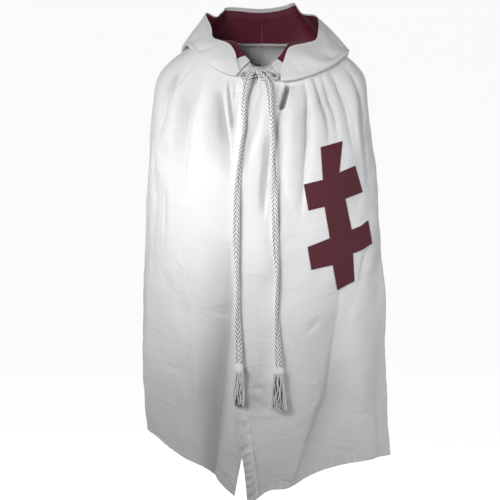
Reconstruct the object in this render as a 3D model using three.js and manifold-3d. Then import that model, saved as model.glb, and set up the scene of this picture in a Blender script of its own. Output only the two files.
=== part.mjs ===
// A hooded mantle in its worn form: two fronts and a back gathered to a neckline, a lowered
// hood with a lining of another colour, an applied two-barred cross, looped fasteners at the
// throat and two doubled cords with tassels.
// Millimetres, +Z up. The origin is at the base of the neck, where the wearer's shoulders
// carry the garment. The front faces -Y and the wearer's left is +X.
import * as THREE from 'three';
import { mergeVertices } from 'three/addons/utils/BufferGeometryUtils.js';
import Module from 'manifold-3d';

const wasm = await Module();
wasm.setup();

// ---- driving sizes ----
const CLOTH = 2;             // wall of the body cloth
const HOOD_CLOTH = 1.6;      // wall of the hood's outer cloth
const LINING_CLOTH = 1.2;    // wall of the hood's lining
const SEAM_GAP = 0.3;        // between pieces that meet at a seam
const LAP_LIFT = 3.8;        // how far the upper front stands over the under one
const LAP_SINK = 0.6;        // how far the under front sits in
const LAP_EASE = [-30, -9];  // turns over which the upper front lifts
const SINK_EASE = [18, 8];   // turns over which the under front sinks in
const CROSS_LIFT = 0.4;      // the cross over the cloth
const CROSS_CLOTH = 1.5;
const FRONT_STEP = 3.2;      // degrees between the columns of a front
const BACK_STEP = 7.5;
const CORD_RADIUS = 4;
const PAIR_HALF = 4.4;       // from a doubled cord's middle to each strand's middle
const PAIR_TWIST = 1;        // turns of a doubled cord's strands over its whole length
const CORD_END_GAP = 1;      // between a cord's end and its tassel's head
const FROG_RING = 10.4;      // middle radius of a fastener's loop
const FROG_CORD = 2.3;
const HEAD_RADIUS = 14;      // a tassel's wound head
const HEAD_HEIGHT = 25;
const SKIRT_LENGTH = 82;
const STRAND_HALF = 2.1;

// ---- tables ----
const table = (columns, rows) => rows.map((row) => Object.fromEntries(columns.map((name, i) => [name, row[i]])));

// Level 0 is the neckline and 1 the hem. Each row is one closed section of the body.
const SECTIONS = table(
  ['level', 'frontY', 'frontZ', 'backY', 'backZ', 'rightX', 'rightZ', 'leftX', 'leftZ', 'squareness'],
  [
    [0.00, -70, -28, 66, 50, 68, 44, 70, 42, 2.0],
    [0.04, -88, -58, 94, 36, 115, 44, 118, 38, 2.0],
    [0.08, -104, -98, 118, 6, 160, 38, 165, 30, 2.0],
    [0.13, -122, -150, 136, -46, 205, 20, 212, 12, 2.05],
    [0.19, -136, -212, 148, -110, 256, -28, 254, -30, 2.1],
    [0.27, -147, -298, 155, -200, 279, -116, 270, -122, 2.2],
    [0.38, -155, -418, 160, -322, 288, -240, 286, -245, 2.25],
    [0.54, -163, -592, 166, -505, 298, -425, 299, -440, 2.25],
    [0.76, -178, -830, 182, -760, 304, -680, 310, -710, 2.2],
    [1.00, -196, -1075, 205, -1030, 294, -926, 322, -1005, 2.1],
  ],
);

// A turn of 0 is the centre front, 90 the wearer's right side, 180 the centre back.
const HEM = table(
  ['turn', 'z'],
  [
    [-180, -1030], [-135, -1015], [-90, -1005], [-57, -1004], [-35, -1010], [-18.8, -1037],
    [-11.7, -1061], [-1.8, -1069], [3.2, -1088], [7.5, -1101], [13.3, -1081], [18.5, -1060],
    [27.6, -1022], [39, -996], [63, -947], [90, -926], [135, -985], [180, -1030],
  ],
);

// The turn where each front ends at the opening.
const OPENING = table(
  ['level', 'upper', 'under'],
  [
    [0.00, 3, -4], [0.05, 6, -5], [0.10, 12, -6], [0.22, 13, -6], [0.45, 12.5, -5], [0.70, 11.5, -2],
    [0.80, 11.5, 3], [0.897, 9.8, 8.8], [0.95, 8, 11.3], [1.00, 7.3, 13.3],
  ],
);

// Troughs (depth below 0) and ridges, each along a path of three points on the body.
// width is the half-width in degrees of turn.
const FOLDS = table(
  ['fromLevel', 'fromTurn', 'midLevel', 'midTurn', 'toLevel', 'toTurn', 'width', 'depth'],
  [
    // wearer's right front
    [0.06, 30, 0.17, 22, 0.42, 15, 3.6, -9], [0.07, 23, 0.20, 16.5, 0.34, 15, 3.6, 4],
    [0.10, 48, 0.22, 43, 0.50, 40, 4.5, -7], [0.09, 38, 0.22, 32, 0.55, 29, 5.0, 5],
    [0.11, 58, 0.20, 61, 0.36, 64, 3.6, -6], [0.12, 53, 0.24, 52, 0.45, 52, 4.0, 4],
    [0.30, 67, 0.46, 65, 0.72, 61, 3.6, -5], [0.40, 50, 0.56, 51, 0.85, 53, 4.0, -5],
    [0.45, 13.5, 0.85, 22.5, 1.25, 31, 5.0, -15], [0.42, 33, 0.85, 35.5, 1.25, 38, 7.0, 14],
    [0.50, 47, 0.85, 49.5, 1.25, 51, 5.0, -10], [0.55, 68, 0.88, 70.5, 1.25, 73, 6.5, 9],
    [0.24, 79, 0.50, 80, 0.95, 82, 5.0, -7],
    // wearer's left front
    [0.06, -20, 0.16, -9, 0.50, -1, 3.6, -11], [0.08, -25, 0.18, -16, 0.40, -10, 3.6, 4],
    [0.08, -38, 0.18, -26, 0.46, -16, 3.8, -8], [0.09, -32, 0.20, -22, 0.34, -19, 3.0, 3],
    [0.09, -45, 0.16, -38, 0.28, -37, 3.0, -5], [0.10, -50.5, 0.17, -44, 0.29, -43, 3.0, -5],
    [0.11, -57, 0.18, -52.5, 0.36, -53, 3.2, -6], [0.14, -66, 0.24, -67, 0.48, -64, 4.0, -7],
    [0.12, -61, 0.25, -60, 0.50, -58, 4.0, 4],
    [0.60, -35, 0.83, -30, 1.14, 5, 5.5, -13], [0.62, -20, 0.85, -17, 1.20, -8, 4.5, 5],
    [0.66, -50, 0.88, -46, 1.25, -40, 7.0, 11], [0.72, -66, 0.92, -64, 1.25, -62, 6.0, -9],
    [0.30, -80, 0.75, -79, 1.30, -78, 5.5, 7], [0.45, 2, 0.65, 1, 0.95, -3, 5.0, -5],
    // back
    [0.10, 97, 0.24, 100, 0.60, 102, 5.5, -9], [0.10, 115, 0.90, 111, 1.30, 110, 7.5, 19],
    [0.09, 131, 0.26, 127, 0.55, 126, 5.5, -10], [0.30, 131, 0.92, 132, 1.30, 130, 8.0, -23],
    [0.09, 146, 0.90, 151, 1.30, 153, 8.0, 19], [0.08, 163, 0.26, 165, 0.58, 166, 6.0, -10],
    [0.32, 166, 0.92, 171, 1.30, 173, 8.0, -22], [0.08, 181, 0.90, 191, 1.30, 194, 8.0, 18],
    [0.09, 198, 0.92, 210, 1.30, 213, 8.0, -19], [0.09, 217, 0.90, 229, 1.30, 232, 8.0, 19],
    [0.10, 236, 0.92, 245, 1.30, 247, 7.5, -19], [0.10, 252, 0.80, 260, 1.30, 262, 6.5, 11],
    [0.09, 190, 0.22, 191, 0.42, 192, 4.5, -8], [0.09, 226, 0.24, 228, 0.45, 229, 4.5, -8],
  ],
);

// The hood, from its front end on the wearer's right, round the back, to its other front end.
// turn, level and lift place the fold where it lies on the shoulders; rim is the face edge.
const HOOD = table(
  ['turn', 'level', 'lift', 'bulge', 'rimX', 'rimY', 'rimZ'],
  [
    [27, 0.062, 9, 3, -54, -90, -38], [33, 0.073, 9, 4, -62, -81, -20], [40, 0.083, 10, 5, -68, -68, 9],
    [47, 0.091, 10, 6, -82, -56, 32], [54, 0.099, 11, 6, -106, -52, 43], [62, 0.105, 11, 5, -124, -46, 52],
    [71, 0.108, 12, 4, -129, -28, 80], [82, 0.110, 13, 2, -145, 5, 119], [103, 0.128, 17, 8, -117, 55, 121],
    [128, 0.160, 24, 16, -103, 85, 142], [154, 0.200, 30, 22, -84, 108, 156], [180, 0.222, 34, 26, 1, 122, 154],
    [204, 0.204, 31, 22, 59, 118, 161], [226, 0.172, 25, 16, 86, 106, 166], [247, 0.145, 19, 10, 106, 78, 135],
    [266, 0.134, 15, 5, 135, 45, 124], [283, 0.133, 13, 3, 146, 20, 106], [292, 0.128, 12, 4, 144, -8, 81],
    [301, 0.121, 11, 6, 137, -32, 50], [311, 0.108, 11, 7, 108, -46, 37], [321, 0.092, 10, 7, 78, -56, 29],
    [330, 0.079, 10, 5, 63, -66, 15], [336, 0.071, 9, 4, 54, -78, -13], [341, 0.065, 9, 3, 44, -89, -37],
  ],
);
const HOOD_BACK_SEAM = 180;  // the turn where the two halves of the hood are joined

// The cross's outline on the front, from the top corner and clockwise as it is seen.
const CROSS = table(
  ['x', 'z'],
  [
    [143, -233], [198, -216], [189, -295], [230, -277], [249, -342], [204, -360], [220, -436],
    [243, -427], [263, -412], [273, -470], [247, -486], [223, -495], [227, -563], [184, -585],
    [172, -523], [119, -535], [110, -479], [165, -457], [152, -380], [112, -390], [101, -325], [148, -314],
  ],
);

// The middle line of each doubled cord, from its fastener to its tassel.
const CORD_COLUMNS = ['x', 'y', 'z'];
const CORD_RIGHT = table(CORD_COLUMNS, [
  [-26.5, -101, -43], [-31.5, -110, -55], [-36, -114, -63], [-39, -115, -74], [-42, -119, -93],
  [-45, -127, -121], [-47, -137, -152], [-46, -144, -183], [-51, -151, -222], [-56, -157, -267],
  [-60, -161, -315], [-63, -164, -364], [-64, -167, -413], [-65, -170, -474], [-63, -172, -534],
  [-61, -176, -607], [-61, -180, -656], [-59, -186, -703], [-58, -194, -740], [-58, -197, -757],
]);
const CORD_LEFT = table(CORD_COLUMNS, [
  [-9, -99, -44], [-1, -106, -55], [8, -110.5, -65], [13, -113, -74], [16, -117, -87],
  [19, -124, -111], [20, -134, -142], [23, -144, -180], [25, -151, -217], [26, -156, -255],
  [29, -161, -303], [29, -165, -353], [30, -168, -413], [31, -171, -474], [34, -174, -535],
  [34, -177, -595], [35, -181, -656], [36, -189, -716], [37, -197, -748], [37, -200, -766],
]);

// The middles of the fasteners' loops.
const FROGS = table(
  ['name', 'outerX', 'outerY', 'outerZ', 'innerX', 'innerY', 'innerZ'],
  [
    ['frog_right', -46.5, -99.5, -51, -22, -93, -48],
    ['frog_left', 30, -100, -53, 4, -93, -48],
  ],
);
const FROG_LEAN = 0.53;      // radians that the loops lean back, as the chest does

// ---- materials ----
const finish = (color, roughness) => new THREE.MeshStandardMaterial({ color, roughness, metalness: 0 });
const whiteCloth = () => finish(0xeeeef0, 0.78);
const wineCloth = () => finish(0x5a2030, 0.7);
const cordWhite = () => finish(0xf2f0ea, 0.6);

// ---- curves ----
const clamp = (value, low, high) => Math.min(Math.max(value, low), high);
const ease = (value) => value * value * (3 - 2 * value);

// A smooth curve through the rows of a table, column against key.
function curve(rows, key, column, at) {
  const last = rows.length - 1;
  const x = clamp(at, rows[0][key], rows[last][key]);
  let i = 0;
  while (i < last - 1 && x >= rows[i + 1][key]) i += 1;
  const width = (k) => rows[k + 1][key] - rows[k][key];
  const rise = (k) => (rows[k + 1][column] - rows[k][column]) / width(k);
  const inner = (k) => (width(k - 1) * rise(k) + width(k) * rise(k - 1)) / (width(k - 1) + width(k));
  const slope = (k) => {
    if (k === 0) return 1.5 * rise(0) - 0.5 * inner(1);
    if (k === last) return 1.5 * rise(last - 1) - 0.5 * inner(last - 1);
    return inner(k);
  };
  const u = (x - rows[i][key]) / width(i);
  const h = width(i);
  return (1 + 2 * u) * (1 - u) ** 2 * rows[i][column] + u * (1 - u) ** 2 * h * slope(i)
    + u * u * (3 - 2 * u) * rows[i + 1][column] + u * u * (u - 1) * h * slope(i + 1);
}

// ---- the body's surface ----
const HEM_STARTS = 0.38;     // the level below which the hem's own line takes over
const lastSection = SECTIONS[SECTIONS.length - 1];

function bodyPoint(turn, level) {
  const angle = THREE.MathUtils.degToRad(turn);
  const s = Math.sin(angle);
  const c = Math.cos(angle);
  const side = s > 0 ? 'right' : 'left';
  const face = c > 0 ? 'front' : 'back';
  const at = (column) => curve(SECTIONS, 'level', column, level);
  const a = at(`${side}X`);
  const b = Math.abs(at(`${face}Y`));
  const p = at('squareness');
  const bearing = Math.atan2(a * s, b * c);
  const r = (Math.abs(Math.sin(bearing) / a) ** p + Math.abs(Math.cos(bearing) / b) ** p) ** (-1 / p);
  const plainHem = lastSection[`${face}Z`] * c * c + lastSection[`${side}Z`] * s * s;
  const wrapped = THREE.MathUtils.euclideanModulo(turn + 180, 360) - 180;
  const share = clamp((level - HEM_STARTS) / (1 - HEM_STARTS), 0, 1) ** 1.5;
  const z = at(`${face}Z`) * c * c + at(`${side}Z`) * s * s
    + (curve(HEM, 'turn', 'z', wrapped) - plainHem) * share;
  return new THREE.Vector3(-r * Math.sin(bearing), -r * Math.cos(bearing), z);
}

function bodyNormal(turn, level) {
  const turnStep = 0.5;
  const levelStep = 0.004;
  const low = Math.max(level - levelStep, 0);
  const high = Math.min(level + levelStep, 1);
  const across = bodyPoint(turn + turnStep, level).sub(bodyPoint(turn - turnStep, level));
  const down = bodyPoint(turn, high).sub(bodyPoint(turn, low));
  return across.cross(down).normalize();
}

// How far the folds move the cloth out at a place on the body.
function foldDepth(turn, level) {
  let depth = 0;
  for (const fold of FOLDS) {
    const inside = level > fold.fromLevel && level < fold.toLevel;
    if (inside) {
      const upper = level < fold.midLevel;
      const start = upper ? fold.fromLevel : fold.midLevel;
      const end = upper ? fold.midLevel : fold.toLevel;
      const part = (level - start) / (end - start);
      const centre = upper
        ? fold.fromTurn + (fold.midTurn - fold.fromTurn) * part
        : fold.midTurn + (fold.toTurn - fold.midTurn) * part;
      const strength = upper ? ease(part) : 1 - ease(part);
      const off = (THREE.MathUtils.euclideanModulo(turn - centre + 180, 360) - 180) / fold.width;
      depth += fold.depth * strength * Math.exp(-off * off);
    }
  }
  return depth;
}

// A point of the cloth, moved out from its folded surface.
function clothPoint(turn, level, out) {
  return bodyPoint(turn, level).addScaledVector(bodyNormal(turn, level), foldDepth(turn, level) + out);
}

// ---- closed walls ----
// Joins an outer and an inner grid of points, rows by columns, into one closed wall.
function wall(outer, inner) {
  const rows = outer.length;
  const columns = outer[0].length;
  const index = (layer, row, column) => (layer * rows + row) * columns + column;
  const faces = [];
  const quad = (a, b, c, d) => faces.push(a, b, c, a, c, d);
  const flipped = (a, b, c, d) => faces.push(a, c, b, a, d, c);
  for (let row = 0; row < rows - 1; row += 1) {
    for (let column = 0; column < columns - 1; column += 1) {
      const corners = [[row, column], [row, column + 1], [row + 1, column + 1], [row + 1, column]];
      quad(...corners.map(([r, c]) => index(0, r, c)));
      flipped(...corners.map(([r, c]) => index(1, r, c)));
    }
    quad(index(0, row, 0), index(0, row + 1, 0), index(1, row + 1, 0), index(1, row, 0));
    quad(index(1, row, columns - 1), index(1, row + 1, columns - 1),
      index(0, row + 1, columns - 1), index(0, row, columns - 1));
  }
  for (let column = 0; column < columns - 1; column += 1) {
    quad(index(1, 0, column), index(1, 0, column + 1), index(0, 0, column + 1), index(0, 0, column));
    quad(index(0, rows - 1, column), index(0, rows - 1, column + 1),
      index(1, rows - 1, column + 1), index(1, rows - 1, column));
  }
  const points = [...outer.flat(), ...inner.flat()];
  return closedGeometry(points, faces);
}

// A geometry from points and faces, turned so that its faces point out.
function closedGeometry(points, faces) {
  let volume = 0;
  for (let i = 0; i < faces.length; i += 3) {
    const [a, b, c] = [points[faces[i]], points[faces[i + 1]], points[faces[i + 2]]];
    volume += a.dot(b.clone().cross(c));
  }
  const ordered = volume < 0 ? faces.slice().reverse() : faces;
  const geometry = new THREE.BufferGeometry();
  geometry.setAttribute('position', new THREE.Float32BufferAttribute(points.flatMap((p) => p.toArray()), 3));
  geometry.setIndex(ordered);
  geometry.computeVertexNormals();
  return geometry;
}

const toSolid = (geometry) => {
  const plain = geometry.clone();
  plain.deleteAttribute('normal');
  plain.deleteAttribute('uv');
  const merged = mergeVertices(plain, 1e-4);
  return new wasm.Manifold(new wasm.Mesh({
    numProp: 3,
    vertProperties: new Float32Array(merged.attributes.position.array),
    triVerts: new Uint32Array(merged.index.array),
  }));
};

const fromSolid = (solid) => {
  const mesh = solid.getMesh();
  const geometry = new THREE.BufferGeometry();
  geometry.setAttribute('position', new THREE.BufferAttribute(new Float32Array(mesh.vertProperties), 3));
  geometry.setIndex(new THREE.BufferAttribute(new Uint32Array(mesh.triVerts), 1));
  geometry.computeVertexNormals();
  return geometry;
};

const group = new THREE.Group();
function addPiece(name, geometry, material) {
  const mesh = new THREE.Mesh(geometry, material);
  mesh.name = name;
  group.add(mesh);
}

// ---- the body ----
const LEVELS = [0, 0.02, 0.045, 0.07, 0.10, 0.13, 0.16, 0.195, 0.235, 0.28, 0.34, 0.41, 0.49, 0.57,
  0.65, 0.73, 0.81, 0.88, 0.94, 1];
const SIDE = 90;

// The part of a seam's gap that a panel leaves at its edge, in degrees of turn.
function edgeTrim(level) {
  const radius = Math.abs(bodyPoint(SIDE, level).x);
  return THREE.MathUtils.radToDeg(SEAM_GAP / 2 / radius);
}

const upperLift = (turn) => LAP_LIFT * ease(clamp((turn - LAP_EASE[0]) / (LAP_EASE[1] - LAP_EASE[0]), 0, 1));
const underSink = (turn) => -LAP_SINK * ease(clamp((turn - SINK_EASE[0]) / (SINK_EASE[1] - SINK_EASE[0]), 0, 1));

// Grid of a panel between two turns at each level, moved out by lift(turn) plus out.
function panelGrid(fromTurn, toTurn, columns, lift, out) {
  return LEVELS.map((level) => {
    const from = fromTurn(level);
    const to = toTurn(level);
    return Array.from({ length: columns + 1 }, (_, i) => {
      const turn = from + (to - from) * (i / columns);
      return clothPoint(turn, level, lift(turn) + out);
    });
  });
}

const upperEdge = (level) => curve(OPENING, 'level', 'upper', level);
const underEdge = (level) => curve(OPENING, 'level', 'under', level);
const frontColumns = Math.round(100 / FRONT_STEP);
const backColumns = Math.round(180 / BACK_STEP);

const leftGrid = (out) => panelGrid((level) => -SIDE + edgeTrim(level), upperEdge, frontColumns, upperLift, out);
const rightGrid = (out) => panelGrid(underEdge, (level) => SIDE - edgeTrim(level), frontColumns, underSink, out);
const backGrid = (out) => panelGrid(
  (level) => SIDE + edgeTrim(level),
  (level) => 360 - SIDE - edgeTrim(level),
  backColumns,
  () => 0,
  out,
);

addPiece('left_front', wall(leftGrid(0), leftGrid(-CLOTH)), whiteCloth());
addPiece('right_front', wall(rightGrid(0), rightGrid(-CLOTH)), whiteCloth());
addPiece('back', wall(backGrid(0), backGrid(-CLOTH)), whiteCloth());

// ---- the hood ----
const HOOD_SEAM_LIFT = 1.2;      // over the body cloth at the neckline
const HOOD_COLUMNS = 18;         // columns of each half
const HOOD_PROFILE = [0, 0.5, 1, 2, 3, 3.7, 4, 4.35, 4.65, 5, 5.6, 6.3, 7.1, 7.92, 8];
const HOOD_FOLD_RADIUS = 5;
const LINING_PROFILE = HOOD_PROFILE.slice(0, -1);   // the lining stops short of the rim
const hoodStart = HOOD[0].turn;
const hoodEnd = HOOD[HOOD.length - 1].turn;

// The hood's profile at a turn: from the neckline out over the shoulder, round the fold
// and up to the rim.
function hoodProfile(turn) {
  const at = (column) => curve(HOOD, 'turn', column, turn);
  const level = at('level');
  const lap = upperLift(turn > 180 ? turn - 360 : -180);
  const lift = at('lift');
  const over = (share, out) => {
    const l = level * share;
    return bodyPoint(turn, l).addScaledVector(bodyNormal(turn, l), out + lap);
  };
  const rim = new THREE.Vector3(at('rimX'), at('rimY'), at('rimZ'));
  const fold = over(1, lift);
  const out = bodyNormal(turn, level);
  const rise = rim.clone().sub(fold);
  const bulge = at('bulge');
  return [
    over(0, HOOD_SEAM_LIFT),
    over(0.15, 0.3 * lift),
    over(0.45, 0.4 * lift),
    over(0.8, 0.42 * lift),
    fold.clone().addScaledVector(out, -HOOD_FOLD_RADIUS),
    fold.clone().addScaledVector(out, HOOD_FOLD_RADIUS),
    fold.clone().addScaledVector(rise, 0.2).addScaledVector(out, HOOD_FOLD_RADIUS + bulge * 0.4),
    fold.clone().addScaledVector(rise, 0.6).addScaledVector(out, bulge),
    rim,
  ];
}

function hoodPoint(turn, along) {
  const points = hoodProfile(turn);
  const path = new THREE.CatmullRomCurve3(points, false, 'centripetal');
  return path.getPoint(clamp(along / (points.length - 1), 0, 1));
}

// The hood's normal, pointing to its white side.
function hoodNormal(turn, along) {
  const turnStep = 1;
  const step = 0.05;
  const across = hoodPoint(Math.min(turn + turnStep, hoodEnd), along)
    .sub(hoodPoint(Math.max(turn - turnStep, hoodStart), along));
  const up = hoodPoint(turn, along + step).sub(hoodPoint(turn, along - step));
  return up.cross(across).normalize();
}

function hoodGrid(half, profile, inward) {
  return profile.map((along) => Array.from({ length: HOOD_COLUMNS + 1 }, (_, i) => {
    const turn = half.from + (half.to - half.from) * (i / HOOD_COLUMNS);
    return hoodPoint(turn, along).addScaledVector(hoodNormal(turn, along), -inward);
  }));
}

const seamTurn = 0.08;           // half the back seam's gap, in degrees of turn
const HALVES = table(
  ['side', 'from', 'to'],
  [['right', hoodStart, HOOD_BACK_SEAM - seamTurn], ['left', HOOD_BACK_SEAM + seamTurn, hoodEnd]],
);
for (const half of HALVES) {
  const layer = (profile, inward) => hoodGrid(half, profile, inward);
  const liningOut = HOOD_CLOTH + SEAM_GAP;
  addPiece(`hood_${half.side}`, wall(layer(HOOD_PROFILE, 0), layer(HOOD_PROFILE, HOOD_CLOTH)), whiteCloth());
  addPiece(
    `hood_lining_${half.side}`,
    wall(layer(LINING_PROFILE, liningOut), layer(LINING_PROFILE, liningOut + LINING_CLOTH)),
    wineCloth(),
  );
}

// ---- the cross ----
function crossGeometry() {
  const shape = new THREE.Shape(CROSS.map((corner) => new THREE.Vector2(corner.x, corner.z)));
  const depth = 300;
  const prism = new THREE.ExtrudeGeometry(shape, { depth, bevelEnabled: false });
  prism.rotateX(Math.PI / 2);
  const skin = wall(leftGrid(CROSS_LIFT + CROSS_CLOTH), leftGrid(CROSS_LIFT));
  return fromSolid(toSolid(skin).intersect(toSolid(prism)));
}
addPiece('cross', crossGeometry(), wineCloth());

// ---- cords ----
function tube(points, radius, sides, steps) {
  const outline = new THREE.Shape(Array.from({ length: sides }, (_, i) => {
    const angle = (i / sides) * 2 * Math.PI;
    return new THREE.Vector2(radius * Math.cos(angle), radius * Math.sin(angle));
  }));
  const extrudePath = new THREE.CatmullRomCurve3(points);
  return new THREE.ExtrudeGeometry(outline, { extrudePath, steps, bevelEnabled: false, curveSegments: 1 });
}

// One strand of a doubled cord: beside the middle line, turning slowly round it.
function strandPoints(route, side) {
  const middle = new THREE.CatmullRomCurve3(route.map((p) => new THREE.Vector3(p.x, p.y, p.z)));
  const count = 32;
  return Array.from({ length: count + 1 }, (_, i) => {
    const along = i / count;
    const angle = along * PAIR_TWIST * 2 * Math.PI;
    const tangent = middle.getTangentAt(along);
    const outward = new THREE.Vector3(0, -1, 0);
    const across = outward.clone().cross(tangent).normalize();
    const away = tangent.clone().cross(across).normalize();
    return middle.getPointAt(along)
      .addScaledVector(across, side * PAIR_HALF * Math.cos(angle))
      .addScaledVector(away, side * PAIR_HALF * Math.sin(angle));
  });
}

const CORDS = table(['side', 'route'], [['right', CORD_RIGHT], ['left', CORD_LEFT]]);
const cordSteps = 30;
for (const cord of CORDS) {
  addPiece(`cord_${cord.side}_a`, tube(strandPoints(cord.route, 1), CORD_RADIUS, 8, cordSteps), cordWhite());
  addPiece(`cord_${cord.side}_b`, tube(strandPoints(cord.route, -1), CORD_RADIUS, 8, cordSteps), cordWhite());
}

// ---- tassels ----
const RINGS = table(['count', 'rootRadius', 'endRadius', 'start'], [[14, 9.5, 18, 0], [6, 4, 8, 0.4]]);
const TASSEL_FLAT = 0.7;        // depth of a tassel's skirt against its width

// A tassel whose head starts below the end of its cord.
function tasselGeometry(end) {
  const top = end.z - CORD_END_GAP;
  const profile = [[0, 0], [7, -0.5], [12, -4], [HEAD_RADIUS, -10], [13, -17], [10, -21], [11.5, -HEAD_HEIGHT], [0, -HEAD_HEIGHT]];
  const head = new THREE.LatheGeometry(profile.map(([r, z]) => new THREE.Vector2(r, z)).reverse(), 12);
  head.rotateX(Math.PI / 2);
  head.translate(end.x, end.y, top);
  let solid = toSolid(head);
  for (const ring of RINGS) {
    for (let i = 0; i < ring.count; i += 1) {
      const angle = (i / ring.count) * 2 * Math.PI + ring.start;
      const at = (radius, drop) => new THREE.Vector3(
        end.x + radius * Math.cos(angle),
        end.y + radius * TASSEL_FLAT * Math.sin(angle),
        top - drop,
      );
      const middleRadius = ring.rootRadius + (ring.endRadius - ring.rootRadius) * 0.75;
      const strand = tube(
        [at(ring.rootRadius, HEAD_HEIGHT - 3), at(middleRadius, HEAD_HEIGHT + SKIRT_LENGTH * 0.4),
          at(ring.endRadius, HEAD_HEIGHT + SKIRT_LENGTH)],
        STRAND_HALF,
        4,
        3,
      );
      solid = solid.add(toSolid(strand));
    }
  }
  return fromSolid(solid);
}
for (const cord of CORDS) {
  addPiece(`tassel_${cord.side}`, tasselGeometry(cord.route[cord.route.length - 1]), cordWhite());
}

// ---- fasteners ----
function loopSolid(x, y, z) {
  const ring = new THREE.TorusGeometry(FROG_RING, FROG_CORD, 6, 16);
  ring.rotateX(Math.PI / 2 - FROG_LEAN);
  ring.translate(x, y, z);
  return toSolid(ring);
}
for (const frog of FROGS) {
  const knot = new THREE.SphereGeometry(3.6, 8, 6);
  knot.translate((frog.outerX + frog.innerX) / 2, (frog.outerY + frog.innerY) / 2, (frog.outerZ + frog.innerZ) / 2);
  const loops = loopSolid(frog.outerX, frog.outerY, frog.outerZ)
    .add(loopSolid(frog.innerX, frog.innerY, frog.innerZ))
    .add(toSolid(knot));
  addPiece(frog.name, fromSolid(loops), cordWhite());
}

export default group;
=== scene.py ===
import bpy
import bmesh
import math
import numpy as np
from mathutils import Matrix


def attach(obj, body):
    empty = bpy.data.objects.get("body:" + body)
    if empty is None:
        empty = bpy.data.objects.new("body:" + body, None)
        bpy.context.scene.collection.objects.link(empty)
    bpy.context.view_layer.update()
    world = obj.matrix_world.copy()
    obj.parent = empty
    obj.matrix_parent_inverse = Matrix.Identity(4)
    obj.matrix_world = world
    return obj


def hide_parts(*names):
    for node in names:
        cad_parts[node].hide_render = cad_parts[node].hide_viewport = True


# A hooded mantle as it is worn: gathered white cloth, a lowered hood lined in wine red,
# a two-barred cross, looped throat fasteners and two doubled cords with tassels.
# The sizes in the tables are in millimetres, and the meshes are in metres.

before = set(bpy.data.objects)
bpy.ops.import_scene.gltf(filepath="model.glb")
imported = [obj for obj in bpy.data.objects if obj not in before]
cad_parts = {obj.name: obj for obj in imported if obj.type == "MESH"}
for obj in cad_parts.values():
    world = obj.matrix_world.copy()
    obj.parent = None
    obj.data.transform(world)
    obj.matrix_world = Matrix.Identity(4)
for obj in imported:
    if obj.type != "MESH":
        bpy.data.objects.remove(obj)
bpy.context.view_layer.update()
mm = 0.001
print("frame loaded:", len(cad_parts), "nodes")


def table(columns, rows):
    values = np.array(rows, float)
    return {name: values[:, i] for i, name in enumerate(columns.split())}


def ease(value):
    value = np.clip(value, 0, 1)
    return value * value * (3 - 2 * value)


def unit(vectors):
    return vectors / np.linalg.norm(vectors, axis=-1, keepdims=True)


# ---- camera ----
cameraPlace = {"side": -0.0307, "distance": 3.3, "height": -0.486, "pictureWidth": 1.28, "sensor": 36}


def makeCamera():
    data = bpy.data.cameras.new("camera")
    data.sensor_width = cameraPlace["sensor"]
    data.lens = cameraPlace["sensor"] * cameraPlace["distance"] / cameraPlace["pictureWidth"]
    camera = bpy.data.objects.new("camera", data)
    camera.location = (cameraPlace["side"], -cameraPlace["distance"], cameraPlace["height"])
    camera.rotation_euler = (math.pi / 2, 0, 0)
    bpy.context.scene.collection.objects.link(camera)
    bpy.context.scene.camera = camera


makeCamera()
print("camera made")


# ---- nodes ----
class Socket:  # a node's output that can stand in an expression
    def __init__(self, nodes, link):
        self.nodes = nodes
        self.link = link

    def other(self, name):  # another output of the same node
        return Socket(self.nodes, self.link.node.outputs[name])

    def maths(self, operation, *values):
        sockets = dict(enumerate(values))
        return self.nodes.add("ShaderNodeMath", {"operation": operation}, sockets)

    def __add__(self, value):
        return self.maths("ADD", self, value)

    def __radd__(self, value):
        return self.maths("ADD", value, self)

    def __sub__(self, value):
        return self.maths("SUBTRACT", self, value)

    def __rsub__(self, value):
        return self.maths("SUBTRACT", value, self)

    def __mul__(self, value):
        return self.maths("MULTIPLY", self, value)

    def __rmul__(self, value):
        return self.maths("MULTIPLY", value, self)

    def __truediv__(self, value):
        return self.maths("DIVIDE", self, value)

    def sine(self):
        return self.maths("SINE", self)

    def cosine(self):
        return self.maths("COSINE", self)


class Nodes:  # adds nodes to one tree
    def __init__(self, tree):
        self.tree = tree

    def add(self, kind, settings=None, sockets=None, output=0):
        node = self.tree.nodes.new(kind)
        for name, value in (settings or {}).items():
            setattr(node, name, value)
        for name, value in (sockets or {}).items():
            if isinstance(value, Socket):
                self.tree.links.new(value.link, node.inputs[name])
            else:
                node.inputs[name].default_value = value
        return Socket(self, node.outputs[output]) if node.outputs else None

    def vector(self, operation, first, second, output=0):
        sockets = {0: first, 1: second}
        if operation == "SCALE":
            sockets = {0: first, "Scale": second}
        return self.add("ShaderNodeVectorMath", {"operation": operation}, sockets, output)


# ---- materials ----
def startMaterial(name, fixed):
    material = bpy.data.materials.new(name)
    material.use_nodes = True
    material.node_tree.nodes.clear()
    nodes = Nodes(material.node_tree)
    surface = nodes.add("ShaderNodeBsdfPrincipled", None, fixed)
    nodes.add("ShaderNodeOutputMaterial", None, {"Surface": surface})
    return material, nodes, surface.link.node


def link(nodes, value, socket):
    nodes.tree.links.new(value.link, socket)


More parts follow.
